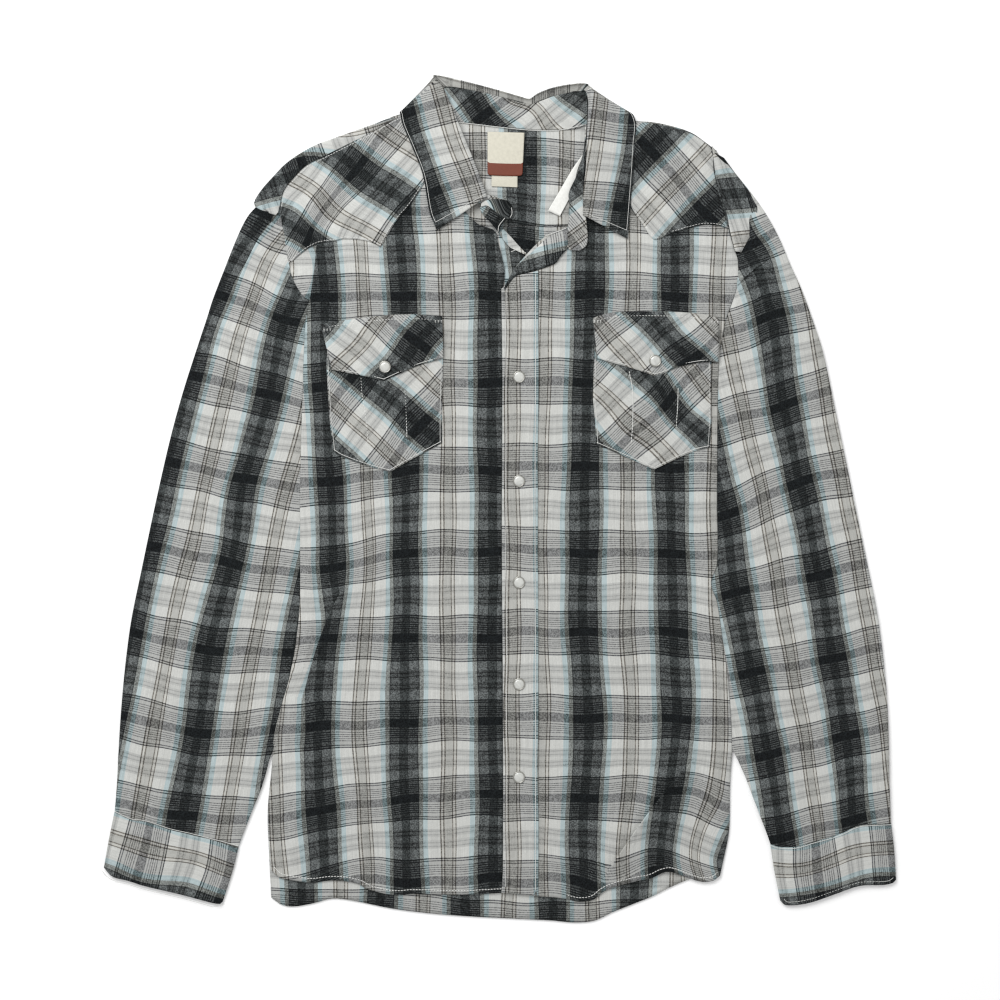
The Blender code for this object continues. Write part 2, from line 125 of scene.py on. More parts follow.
def shirting():
    """Yarn-dyed plain-weave cotton: matt, dry, with flecked charcoal stripes and a faint nap."""
    material, tree, shader = blank("yarn-dyed plaid cotton shirting")
    cut = add(tree, "UVMap", uv_map="cut").outputs["UV"]
    place = add(tree, "SeparateXYZ", {0: cut})
    warp = add(tree, "Math", {0: place.outputs["X"], 1: WARP * MM}, operation="DIVIDE")
    warp = add(tree, "Math", {0: warp.outputs[0]}, operation="FRACT").outputs[0]
    half = WEFT * MM / 2
    weft = add(tree, "Math", {0: place.outputs["Y"], 1: half}, operation="PINGPONG")
    weft = add(tree, "Math", {0: weft.outputs[0], 1: half}, operation="DIVIDE").outputs[0]
    over_white = yarns(tree, warp, WARP, [(start, white) for start, white, _ in WARP_STRIPES])
    over_grey = yarns(tree, warp, WARP, [(start, grey) for start, _, grey in WARP_STRIPES])
    depth = yarns(tree, weft, WEFT / 2, WEFT_STRIPES)
    depth = add(tree, "Math", {0: depth, 1: 1 / GREY_DEPTH}, operation="MULTIPLY").outputs[0]
    woven = add(tree, "Mix", {0: depth, 6: over_white, 7: over_grey}, data_type="RGBA", clamp_factor=False,
                clamp_result=True).outputs[2]
    woven = add(tree, "VectorMath", {0: woven, 1: BLACKEST}, operation="MAXIMUM").outputs[0]
    cell = add(tree, "VectorMath", {0: cut, 1: (FLECK * MM, FLECK * MM, 1.0)}, operation="SNAP").outputs[0]
    fleck = add(tree, "TexWhiteNoise", {"Vector": cell}, noise_dimensions="2D").outputs["Value"]
    value = add(tree, "RGBToBW", {0: woven}).outputs[0]
    contrast = add(tree, "MapRange", {"Value": value, 1: 0.08, 2: 0.45, 3: 1.5, 4: 0.1}).outputs[0]
    grain = add(tree, "Math", {0: fleck, 1: 0.5}, operation="SUBTRACT").outputs[0]
    grain = add(tree, "Math", {0: grain, 1: contrast, 2: 1.0}, operation="MULTIPLY_ADD").outputs[0]
    slub = add(tree, "Mapping", {"Vector": cut, "Scale": (700.0, 26.0, 1.0)})  # 1.4 mm wide and 38 mm long
    slub = add(tree, "TexNoise", {"Vector": slub.outputs[0], "Scale": 1.0, "Detail": 1.0})
    streak = add(tree, "MapRange", {"Value": slub.outputs["Fac"], 1: 0.3, 2: 0.7, 3: 0.725, 4: 0.835})
    grain = add(tree, "Math", {0: grain, 1: streak.outputs[0]}, operation="MULTIPLY").outputs[0]
    colour = add(tree, "VectorMath", {0: woven, "Scale": grain}, operation="SCALE").outputs[0]
    weave = add(tree, "TexNoise", {"Vector": cut, "Scale": 620.0, "Detail": 1.0})  # yarns 1.6 mm apart
    soft = add(tree, "TexNoise", {"Vector": cut, "Scale": 42.0, "Detail": 3.0, "Roughness": 0.55})
    crumple = add(tree, "Bump", {"Height": soft.outputs["Fac"], "Strength": 0.5, "Distance": 0.004})
    bump = add(tree, "Bump", {"Height": weave.outputs["Fac"], "Strength": 0.25, "Distance": 0.0004,
                              "Normal": crumple.outputs[0]})
    wire(shader, {"Base Color": colour, "Normal": bump.outputs[0], "Roughness": 0.88,
                  "Specular IOR Level": 0.12, "Sheen Weight": 0.03})
    return material


plaid = shirting()


def curve(points):
    """The place at a share of the length of a smooth line through points. A point given twice is a corner."""
    runs = [[points[0]]]
    for point in points[1:]:
        if tuple(point) == tuple(runs[-1][-1]):
            runs.append([])
        runs[-1].append(point)
    dense = []
    for run in runs:
        knots = np.array(run, float)
        reach = np.append(0, np.cumsum(np.linalg.norm(np.diff(knots, axis=0), axis=1)))
        n = np.arange(len(knots))
        before, after = np.maximum(n - 1, 0), np.minimum(n + 1, len(knots) - 1)
        slope = (knots[after] - knots[before]) / (reach[after] - reach[before])[:, None]
        s = np.linspace(0, reach[-1], max(3, int(reach[-1])))
        i = np.clip(np.searchsorted(reach, s, "right") - 1, 0, len(knots) - 2)
        h = (reach[i + 1] - reach[i])[:, None]
        t = ((s - reach[i]) / h[:, 0])[:, None]
        dense.append((2 * t ** 3 - 3 * t ** 2 + 1) * knots[i] + (t ** 3 - 2 * t ** 2 + t) * h * slope[i]
                     + (3 * t ** 2 - 2 * t ** 3) * knots[i + 1] + (t ** 3 - t ** 2) * h * slope[i + 1])
    line = np.concatenate(dense)
    length = np.append(0, np.cumsum(np.linalg.norm(np.diff(line, axis=0), axis=1)))

    def at(share):
        return np.stack([np.interp(share * length[-1], length, column) for column in line.T], -1)

    return at


def patch(foot, top, left, right):
    """Fills four edges: foot and top run left to right, left and right run foot to top."""
    foot, top, left, right = curve(foot), curve(top), curve(left), curve(right)

    def place(u, v):
        a, b = u[:, None], v[:, None]
        flat = foot(u) * (1 - b) + top(u) * b + left(v) * (1 - a) + right(v) * a
        near = foot(0.0) * (1 - a) + foot(1.0) * a
        far = top(0.0) * (1 - a) + top(1.0) * a
        return (flat - near * (1 - b) - far * b).T

    return place


def across_at(edge, up):
    """How far across a rising edge lies at a height."""
    return np.interp(up, [p[1] for p in edge], [p[0] for p in edge])


def between(edge, low, high):
    """The stretch of a rising edge from one height to another."""
    start, stop = ((float(across_at(edge, up)), up) for up in (low, high))
    return [start, *(p for p in edge if low + 1 < p[1] < high - 1), stop]


def finished(name, bm, finish):
    """The smooth object of a mesh that is done, in its material."""
    mesh = bpy.data.meshes.new(name)
    bm.to_mesh(mesh)
    bm.free()
    mesh.shade_smooth()
    mesh.materials.append(finish)
    thing = bpy.data.objects.new(name, mesh)
    bpy.context.scene.collection.objects.link(thing)
    return thing


def cloth(name, place, across, along, wall=CLOTH, closed=False, finish=plaid, sharp=None):
    """A sheet laid out by place(u, v): where it lies, and where that is in the plaid, in millimetres. Its
    mesh is finer where sharp(x, y) holds."""
    bm = bmesh.new()
    bmesh.ops.create_grid(bm, x_segments=across, y_segments=along, size=0.5)
    grid = np.array([vert.co[:2] for vert in bm.verts]) + 0.5
    if sharp:
        fine = sharp(*place(grid[:, 0], grid[:, 1])[:2])
        edges = [e for e in bm.edges if fine[e.verts[0].index] and fine[e.verts[1].index]]
        bmesh.ops.subdivide_edges(bm, edges=edges, cuts=3, use_grid_fill=True)
        grid = np.array([vert.co[:2] for vert in bm.verts]) + 0.5
    laid = (np.stack(place(grid[:, 0], grid[:, 1]), -1) * MM).tolist()
    cut = bm.loops.layers.uv.new("cut")
    for vert, (x, y, z, warp, weft) in zip(bm.verts, laid):
        vert.co = x, y, z
        for loop in vert.link_loops:
            loop[cut].uv = warp, weft
    if closed:
        bmesh.ops.remove_doubles(bm, verts=bm.verts, dist=WELD * MM)
        bmesh.ops.recalc_face_normals(bm, faces=bm.faces)
    thing = finished(name, bm, finish)
    solid = thing.modifiers.new("Wall", "SOLIDIFY")
    solid.thickness = wall * MM
    solid.offset = 0.0
    return thing


def laid_by(turn, marks):
    """Where a point of a panel is in the plaid. turn is how far the warp leans from the body, in degrees,
    and each mark is where a crossing lies: across, up, and the dark stripe and grey band that cross there.
    Between the marks the cloth is pulled evenly, and its yarns wander by about a millimetre."""
    marks = np.array(marks, float)
    lean = radians(turn)
    axes = np.array(((cos(lean), -sin(lean)), (sin(lean), cos(lean))))
    pull = marks[:, 2:] * (WARP, WEFT) - marks[:, :2] @ axes
    mean = pull.mean(axis=0)
    gaps = np.linalg.norm(marks[:, None, :2] - marks[None, :, :2], axis=2)
    weights = np.linalg.solve(np.hypot(gaps, PULL_REACH), pull - mean)

    def at(x, y):
        points = np.stack((x, y), -1)
        gaps = np.linalg.norm(points[:, None] - marks[None, :, :2], axis=2)
        there = points @ axes + mean + np.hypot(gaps, PULL_REACH) @ weights
        wander = 0.7 * np.sin(x / 23 + y / 41) + 0.5 * np.sin(x / 11 - y / 17 + 1)
        return there[:, 0] + wander, there[:, 1] + 0.8 * wander + 0.6 * np.sin(x / 9 + y / 29)

    return at


def ease(value, low, high):
    """0 below low, 1 above high, and a smooth rise between."""
    share = np.clip((value - low) / (high - low), 0, 1)
    return share * share * (3 - 2 * share)


def keep(piece, node):
    """Lets a piece take the place of its plain CAD solid."""
    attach(piece, "root")
    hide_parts(node)


BACK_HEM = (  # across and up, from the right
    (-229, -399), (-219, -406), (-208, -408), (-188, -405), (-168, -400), (-148, -402), (-108, -410),
    (-68, -415), (-28, -418), (12, -420), (52, -422), (75, -424), (95, -422), (112, -414), (132, -406),
    (152, -398), (172, -388), (192, -380), (206, -379), (220, -377),
)
RIGHT_SIDE = (  # the body's edge from the hem, then the armhole to the shoulder
    (-229, -399), (-230.5, -371), (-232, -333), (-232, -307), (-228, -266), (-226, -237), (-219, -208),
    (-211, -180), (-203, -135), (-200, -97), (-200, -1), (-199, 53), (-197, 116), (-196, 148), (-194, 180),
    (-191, 197), (-198, 204), (-207, 220), (-211, 235), (-214, 248), (-217, 267), (-223, 282),
)
LEFT_SIDE = (
    (220, -377), (222, -368), (229, -333), (230, -288), (232, -247), (228, -180), (223, -144), (217, -103),
    (211, -84), (217, -65), (217, -1), (218, 116), (220, 148), (226, 180), (233, 199), (237, 212),
    (238.5, 221), (238, 239), (235, 248), (230, 265), (226, 282), (218, 308), (215, 329), (217, 348),
)
YOKE_SEAM = 273.0  # height of the back yoke's lower seam
back_place = patch(
    BACK_HEM,
    ((RIGHT_SIDE[-2][0], YOKE_SEAM), (LEFT_SIDE[-5][0], YOKE_SEAM)),
    [*between(RIGHT_SIDE, -399, YOKE_SEAM - 6), (RIGHT_SIDE[-2][0], YOKE_SEAM)],
    [*between(LEFT_SIDE, -377, YOKE_SEAM - 8), (LEFT_SIDE[-5][0], YOKE_SEAM)],
)
back_plaid = laid_by(0, (
    (-198.3, -413, -3, -8), (-120.6, -414, -2, -8), (-34.5, -423, -1, -8), (52, -428, 0, -8),
    (134, -423, 1, -8), (-200, -73, -3, -4), (-34.5, -83, -1, -4), (134, -80, 1, -4), (22, 256, 0, 0),
    (66, 252, 0.5, 0), (-22, 258, -0.5, 0),
))
BACK_LEVEL = 0.5
HEM_FOLD = 0.5  # the hem is turned twice, and that much thicker


def lie_back(u, v):
    x, y = back_place(u, v)
    z = BACK_LEVEL + 0.35 * (1 + np.sin(x / 37 + 0.8 * np.sin(y / 60))) * ease(v, 0.0, 0.03)
    z += HEM_FOLD * (1 - ease(v, 0.008, 0.012))
    return x, y, z, *back_plaid(x, y)


back = cloth("back_panel_cloth", lie_back, 100, 140)
keep(back, "back_panel")

# ---------------------------------------------------------------------------------------------------------
# Creases: cotton that was folded and has been lying keeps soft bowed troughs and ridges, and a few small
# tucks where one side slides over the other and hides some of the plaid. The sleeves, cuffs and fronts, and
# the pieces on the fronts, are creased this way.

CREASE_DEPTH = 1.25  # of every rise in the tables of folds
TUCK_DIP = 0.45  # how far the cloth beside a tuck is pulled down, for each millimetre that its lip rises


def ridge(value, middle, reach):
    """1 along a line, and next to nothing from twice its reach on."""
    return np.exp(-((value - middle) / reach) ** 2)


def bow(x, y, start, bend, end):
    """How far left of a bowed line a place is, its share of the line's length, and which way is left."""
    t = np.linspace(-0.25, 1.25, 61)[:, None]
    start, bend, end = (np.array(p, float) for p in (start, bend, end))
    bend = 2 * bend - (start + end) / 2
    line = start * (1 - t) ** 2 + 2 * bend * t * (1 - t) + end * t ** 2
    slope = 2 * (bend - start) * (1 - t) + 2 * (end - bend) * t
    slope /= np.linalg.norm(slope, axis=1)[:, None]
    near = ((x[:, None] - line[:, 0]) ** 2 + (y[:, None] - line[:, 1]) ** 2).argmin(axis=1)
    away = slope[near, 0] * (y - line[near, 1]) - slope[near, 1] * (x - line[near, 0])
    return away, t[near, 0], np.stack((-slope[near, 1], slope[near, 0]))


def creased(x, y, folds):
    """Height of soft folds, each given as its start, bend and end, its half width and its rise."""
    height = 0.0 * x
    for start, bend, end, width, rise in folds:
        away, share, _ = bow(x, y, start, bend, end)
        fade = np.sin(pi * np.clip(share, 0, 1)) ** 0.6
        height += CREASE_DEPTH * rise * fade * ridge(away, 0, width)
    return height


def tuck_at(x, y, tuck):
    """A tuck near a place: the distance to the left of its lip, which way is left, how strong it is there,
    the height of its upper and of its lower side, and how much of its slip is left."""
    start, bend, end, width, rise = tuck[:5]
    away, share, left = bow(x, y, start, bend, end)
    fade = np.clip(np.sin(pi * np.clip(share, 0, 1)), 0, 1) ** 0.5
    lip = rise * np.exp(-np.maximum(away, 0) / width)
    dip = -TUCK_DIP * rise * np.exp(np.minimum(away, 0) / (0.6 * width))
    return away, left, fade, lip, dip, fade ** 2 * np.exp(np.minimum(away, 0) / (3.0 * width))


def tucked(x, y, tucks):
    """Height of tucks whose left side lies over, and how far the plaid jumps on the lower side."""
    lift, slip = 0.0 * x, np.zeros((2, len(x)))
    for tuck in tucks:
        away, _, fade, lip, dip, slide = tuck_at(x, y, tuck)
        over = ease(away, -1.3, 1.3)
        lift += fade * (over * lip + (1 - over) * dip)
        slip += np.outer(tuck[5:], (1 - over) * slide)
    return lift, slip


# A cut through a tuck, from its lower side to its upper side: where the cloth would be if it were flat, where
# it is, and how far it has climbed
TURN = np.array((
    (-7, -7, 0), (-6, -6, 0), (-5, -4.9, 0), (-4, -2.9, 0), (-3.2, -0.6, 0), (-2.6, 1.6, 0.05),
    (-2.1, 2.9, 0.15), (-1.6, 2.7, 0.3), (-1.0, 1.5, 0.5), (-0.5, 0.4, 0.68), (0, 0, 0.85), (0.5, 0.15, 0.97),
    (1.0, 0.55, 1), (1.5, 1.15, 1), (2.0, 1.85, 1), (2.6, 2.6, 1),
)).T


def folded(x, y, tucks):
    """Turns cloth under the lip of each tuck: where it goes, how high, and how far its plaid has slipped."""
    lift, shift, slip = 0.0 * x, np.zeros((2, len(x))), np.zeros((2, len(x)))
    for tuck in tucks:
        away, left, fade, lip, dip, slide = tuck_at(x, y, tuck)
        near = np.clip(away, TURN[0, 0], TURN[0, -1])
        shift += left * (np.interp(near, TURN[0], TURN[1]) - near) * fade
        lift += fade * (dip + (lip - dip) * np.interp(near, TURN[0], TURN[2]))
        slip += np.outer(tuck[5:], (1 - ease(away, -2.1, -0.8)) * slide)
    return x + shift[0], y + shift[1], lift, slip


def near_tucks(tucks):
    """Tells which places are beside a tuck, where the mesh has to be finer."""
    def sharp(x, y):
        found = np.zeros(len(x), bool)
        for tuck in tucks:
            away, share, _ = bow(x, y, *tuck[:3])
            found |= (np.abs(away + 1.5) < 7) & (np.abs(share - 0.5) < 0.53)
        return found

    return sharp


def folded_plaid(turn, marks, tucks):
    """The plaid of a panel with tucks in it, from marks on its tucked cloth."""
    marks = np.array(marks, float)
    marks[:, 2:] -= tucked(marks[:, 0], marks[:, 1], tucks)[1].T / (WARP, WEFT)
    return laid_by(turn, marks)


# ---------------------------------------------------------------------------------------------------------
# Back yoke: a cut-across piece of the same shirting, one layer here, lying face down inside the neck. It
# carries the shirt over the shoulders, and on the right shoulder its edge rolls on to the front.

SHOULDERS = (  # from the right armhole, over the neck seam, to the left armhole
    (-231.5, 286.5), (-240, 289), (-246, 295), (-240, 307), (-228, 321), (-212, 337), (-186, 353),
    (-165, 361), (-148, 367), (-128, 374), (-98, 385), (-68, 382), (-43, 377), (-6, 373), (34, 369),
    (76, 370), (90, 375), (106, 378), (133, 378), (152, 377), (172, 373), (192, 366), (205, 357), (217, 348),
)
RIGHT_SHOULDER_SEAM = (  # where the rolled edge meets the front yoke
    (-231, 286), (-223, 284), (-220, 292), (-216, 308), (-207, 320), (-194, 333), (-181, 340), (-149, 356),
    (-133, 364), (-100, 382), (-80, 386),
)
yoke_side = [*between(RIGHT_SIDE, YOKE_SEAM + 0.5, 282), SHOULDERS[0]]
yoke_place = patch(
    ((yoke_side[0][0], YOKE_SEAM + 0.5), (LEFT_SIDE[-5][0] + 1, YOKE_SEAM + 0.5)), SHOULDERS,
    yoke_side, [(LEFT_SIDE[-5][0] + 1, YOKE_SEAM + 0.5), (226, 282), (218, 308), (215, 329), (217, 348)],
)
shoulder_seam = curve(RIGHT_SHOULDER_SEAM)
yoke_plaid = laid_by(0, ((22, 340, 0, 0), (22, 256, 0, -1), (66, 335, 0.5, 0), (66, 252, 0.5, -1),
                         (-22, 345, -0.5, 0)))
strip_plaid = laid_by(-70, ((-199, 341, -0.154, 0), (-214, 321, 0, -0.246), (-232, 296, 0.21, -0.545),
                            (-156, 358, -0.38, 0.5), (-112, 377, -0.45, 1)))
TURNED_PART = 0.36  # share of the shoulders' length whose edge rolls on to the front
ROLL_FLAT = 0.4  # radius of the edge where it is pressed
ROLL_TURNED = 1.9  # how much rounder it is where it rolls on to the front
SEAM_LEVEL = 5.3  # height of the seam to the front yoke


def lie_back_yoke(u, v):
    """Flat for most of v, then round the rolled edge, then on to the front as far as the seam."""
    flat, roll = 0.66, 0.82
    x, y = yoke_place(u, np.clip(v / flat, 0, 1))
    ahead, behind = (yoke_place(np.clip(u + step, 0, 1), 0 * v + 1) for step in (0.004, -0.004))
    out = np.stack((behind[1] - ahead[1], ahead[0] - behind[0]))
    out /= np.linalg.norm(out, axis=0)
    turned = 1 - ease(u, TURNED_PART - 0.05, TURNED_PART)
    radius = ROLL_FLAT + ROLL_TURNED * turned
    low = 0.9 + 0.7 * ease(y, 300, 370) + 0.25 * np.sin(x / 21 + y / 33)
    angle = np.clip((v - flat) / (roll - flat), 0, 1) * (pi / 2 + turned * pi / 2)
    inward = radius * (np.sin(angle) - 1) * ease(v, 0.35, flat)
    z = low + radius * (1 - np.cos(angle))
    across = 0.98 * ease((v - roll) / (1 - roll), 0, 1) * turned
    spot = np.stack((x, y)) + out * inward
    x, y = spot + (shoulder_seam(np.clip(u / TURNED_PART, 0, 1)).T - spot) * across
    z = z + (SEAM_LEVEL - z) * across + 0.5 * turned * np.sin(pi * across)
    flat_plaid, turned_plaid = np.array(yoke_plaid(x, y)), np.array(strip_plaid(x, y))
    return x, y, z, *(flat_plaid + (turned_plaid - flat_plaid) * (v > flat + 0.02) * turned)


back_yoke = cloth("back_yoke_cloth", lie_back_yoke, 140, 66)
keep(back_yoke, "back_yoke")

# ---------------------------------------------------------------------------------------------------------
# Sleeves: each a tapered tube of shirting, set into the armhole and pressed flat. The body lies over its
# inner edge. It creases lengthwise, and its cloth is gathered a little into the cuff.

SLEEVE_RIGHT = (  # inner edge (across, up) and outer fold (across, up)
    (-231, 285.5, -244, 292), (-225, 279, -252, 283), (-218.3, 265, -260, 268), (-214.8, 245, -268, 249),
    (-208, 221, -277, 226), (-198.3, 200, -287, 200), (-195.4, 174, -293, 181), (-197.5, 134, -302, 154),
    (-198.5, 79, -317, 107), (-200.8, 19, -330, 59), (-201, -51, -345.5, -9), (-202.5, -121, -358.5, -71),
    (-210, -169, -369, -123), (-220.8, -209, -375, -169), (-227.5, -246, -379, -213),
    (-238, -286, -381.5, -253), (-250, -316, -383, -283), (-262, -347.5, -385.5, -313.5),
    (-264, -356, -387, -322),
)
SLEEVE_LEFT = (
    (218.5, 349, 224, 341), (216.3, 329, 235, 326), (219, 308, 248, 310), (227.5, 281, 264, 288),
    (231.5, 264, 278, 263), (239, 239, 290, 235), (239.2, 215, 302, 208), (227.5, 179, 316, 169),
    (219.2, 116, 324, 142), (218, 49, 337.5, 78), (218, -21, 352.5, 6), (218, -101, 368, -68),
    (225.2, -151, 378, -119), (229.2, -184, 385, -174), (233.8, -246, 388, -218), (247, -281, 389, -256),
    (259, -313, 389.5, -286), (271, -345.5, 391, -324.5), (272.5, -355, 391.5, -334),
)
SLEEVE_FOLDS = {"right": (  # start, bend, end, half width, rise
    ((-262, 225), (-251, 170), (-262, 110), 9, 1.6), ((-236, 190), (-228, 150), (-232, 95), 8, -1.2),
    ((-300, 120), (-306, 60), (-328, -10), 10, 1.3), ((-262, 60), (-282, -20), (-296, -110), 12, -1.4),
    ((-318, -20), (-332, -95), (-348, -160), 10, -1.1), ((-250, -40), (-262, -120), (-280, -190), 11, 1.5),
    ((-340, -130), (-352, -200), (-356, -262), 9, 1.4), ((-296, -150), (-312, -215), (-322, -290), 10, -1.6),
    ((-262, -180), (-272, -240), (-288, -300), 9, 1.3), ((-366, -180), (-371, -240), (-370, -300), 6, -0.9),
    ((-338, -270), (-342, -295), (-346, -322), 5, 1.2), ((-300, -285), (-304, -310), (-310, -334), 5, -1.2),
    ((-280, -300), (-282, -320), (-284, -342), 4, 1.1), ((-362, -280), (-366, -300), (-370, -318), 4, 1.0),
), "left": (
    ((240, 300), (262, 262), (292, 205), 10, 1.6), ((240, 212), (262, 232), (292, 252), 5, 1.3),
    ((262, 190), (272, 130), (288, 60), 10, -1.3), ((300, 150), (312, 90), (322, 20), 9, 1.3),
    ((240, 110), (250, 40), (262, -40), 11, 1.4), ((300, 10), (318, -60), (330, -130), 11, -1.5),
    ((338, 20), (352, -60), (362, -130), 9, 1.2), ((262, -60), (282, -130), (298, -200), 11, 1.5),
    ((350, -140), (366, -200), (372, -270), 8, 1.3), ((316, -150), (334, -215), (342, -290), 9, -1.5),
    ((262, -190), (284, -250), (300, -310), 9, 1.4), ((378, -180), (382, -230), (384, -290), 5, -0.9),
    ((318, -285), (322, -310), (324, -334), 5, 1.3), ((350, -270), (352, -295), (356, -322), 5, -1.1),
    ((290, -300), (292, -322), (294, -342), 4, -1.1), ((372, -290), (374, -306), (376, -320), 4, 1.0),
)}
SLEEVE_MARKS = {"right": (  # across, up, dark stripe, grey band
    (-214, 180, 0, 0), (-232, 104, 0, -1), (-255, 21, 0, -2), (-270, -65, 0, -3), (-290, -151, 0, -4),
    (-302, -234, 0, -5), (-318, -317, 0, -6), (-282, 205, -1, 0), (-291.5, 121, -0.761, -0.99),
    (-313, 34, -0.761, -1.99), (-333, -51, -0.761, -3), (-350.5, -136, -0.761, -3.98),
    (-204, -154, 1, -4), (-216, -231, 1, -5),
    (-235, 288, -1, 1), (-237.5, 226, -0.5, 0.42), (-226, 249, -0.5, 0.74), (-222.5, 209, -0.24, 0.32),
    (-367.5, -219, -0.761, -5), (-278, 174, -0.761, -0.35), (-269, 34, -0.239, -1.88),
    (-285.5, -51, -0.239, -2.89), (-307.5, -136, -0.239, -3.87),
), "left": (
    (257, 256, 0.135, 0), (275, 267, 0.4, 0), (266.5, 259, 0.24, -0.03), (274.5, 244, 0.24, -0.235),
    (271, 183, 0, -1), (284, 94, 0, -2), (300, 18, 0, -3), (319, -77, 0, -4),
    (332, -160, 0, -5), (346, -237, 0, -6), (354, -320, 0, -7), (225, -17, -1, -3), (236, -93, -1, -4),
    (252, -173, -1, -5), (268, -256, -1, -6), (281, -339, -1, -7),
)}
SLEEVE_TUCKS = {  # start, bend, end, reach, rise, and how much plaid each hides across and along
    "right": (((-226, 277), (-240, 262), (-264, 214), 8, 2.6, -9.5, 0.0),),
    "left": (((237, 212), (250, 226), (272, 242), 7, 2.0, 0.0, -6.0),),
}
SLEEVE_LEAN = {"right": -11.8, "left": 9.7}  # degrees from the body
SLEEVE_BASE = 0.45  # height of the lower layer
SLEEVE_LOFT = 4.3  # height of the upper layer
UNDER_BODY = 9.0  # how far the body lies over the sleeve
UNDER_BASE = 0.85  # how much higher the lower layer lies there
UNDER_LOFT = 2.7  # height of the upper layer there
COVERED = (-262, -225)  # from this height up
INTO_CUFF = 1.9  # how far the end goes down into the cuff


def lie_sleeve(side):
    """A flattened tube laid by rows. u runs under from the inner edge to the fold and back over it."""
    rows = curve(SLEEVE_RIGHT if side == "right" else SLEEVE_LEFT)
    towards = 1 if side == "right" else -1
    tucks = SLEEVE_TUCKS[side]
    weave = folded_plaid(SLEEVE_LEAN[side], SLEEVE_MARKS[side], tucks)

    def at(u, v):
        row = rows(v)
        cover = ease(row[:, 1], *COVERED)
        inner = row[:, :2] + np.stack((towards * UNDER_BODY * cover, 0 * cover), -1)
        outer = row[:, 2:4]
        a = (1 - np.cos(2 * pi * u)) / 2
        x, y = (inner + (outer - inner) * a[:, None]).T
        upper = u > 0.5
        under = cover * (1 - ease(a, 0.02, 0.16))
        low = SLEEVE_BASE + UNDER_BASE * under
        high = SLEEVE_LOFT - (SLEEVE_LOFT - UNDER_LOFT) * under
        high += creased(x, y, SLEEVE_FOLDS[side]) * ease(a, 0, 0.12) * ease(1 - a, 0, 0.06)
        high += (0.5 * np.sin(x / 19 + y / 47) + 0.4 * np.sin(y / 23 - x / 31)) * (1 - under)
        high -= INTO_CUFF * ease(v, 0.98, 0.99)
        over_x, over_y, lift, slip = folded(x, y, tucks)
        round_end = np.abs(np.sin(2 * pi * u)) ** 0.5
        z = (low + high) / 2 + np.where(upper, 1, -1) * (high - low) / 2 * round_end + lift * upper
        x, y = np.where(upper, over_x, x), np.where(upper, over_y, y)
        warp, weft = weave(x, y)
        warp_at_fold = weave(*outer.T)[0]
        return x, y, z, np.where(upper, warp + slip[0], 2 * warp_at_fold - warp), weft + slip[1] * upper

    return at


for side in ("right", "left"):
    sharp = near_tucks(SLEEVE_TUCKS[side])
    sleeve = cloth(f"sleeve_{side}_cloth", lie_sleeve(side), 100, 220, closed=True, sharp=sharp)
    keep(sleeve, f"sleeve_{side}")


def small_sheet(name, edges, weave, height):
    """A small flat piece of cloth inside four edges, at a height given by its shares across and along."""
    place = patch(*edges)

    def lie(u, v):
        x, y = place(u, v)
        return x, y, height(u, v), *weave(x, y)

    piece = cloth(name, lie, 20, 24)
    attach(piece, "root")


# The head of the left sleeve is folded back over itself beside the yoke
def lie_cap(u, v):
    ripple = 0.9 * np.sin(pi * u) + 0.4 * np.sin(9 * v)
    return 5.6 + ripple - 1.0 * ease(u, 0.75, 1) - 2.4 * ease(v, 0.9, 1)


cap_plaid = laid_by(-72, (
    (226, 306, 0, 0.5), (237, 278, 0.3, 0.5), (252, 287, 0.21, 0.74), (245, 309, -0.02, 0.74),
))
small_sheet("sleeve_left_cap", (
    ((235, 247.5), (241, 246.5)), ((212, 353), (219, 344), (232, 329), (245, 313), (257, 296)),
    ((235, 247.5), (230, 267), (227, 284), (222, 299), (216, 319), (214, 334), (212, 353)),
    ((241, 246.5), (248, 259), (256, 273), (257, 283), (257, 296)),
), cap_plaid, lie_cap)

# ---------------------------------------------------------------------------------------------------------
# Cuffs: stiff bands cut across the cloth, so that their stripes run round the wrist. Each is pressed flat,
# with a pressed seam to the sleeve and a row of stitches round its foot.

CUFF_EDGES = {  # inner and outer edge (across, up), from the sleeve to the foot
    "right": ((-261.5, -347, -385.2, -313), (-268, -373, -391.5, -345), (-278, -404.5, -396, -371)),
    "left": ((271, -345, 391, -324), (275, -371, 394, -351), (282, -406, 396, -383)),
}
CUFF_SEAM = {"right": (  # the seam's wave, on top
    (-385.5, -313.5), (-369, -321), (-354, -323), (-330, -331), (-312, -335), (-288, -341), (-262, -348),
), "left": (
    (271, -345.5), (279, -348), (296, -348), (313, -343), (332, -338), (343, -334), (356, -327.5),
    (363, -326), (391, -324.5),
)}
CUFF_FOOT = {"right": (
    (-396, -369), (-388, -377.5), (-372, -382), (-356, -387), (-318, -396), (-288, -404), (-280, -405),
    (-278, -403),
), "left": (
    (281, -402), (285, -406), (298, -406), (313, -403), (336, -395), (360, -387), (384, -386),
    (393, -384), (396, -381),
)}
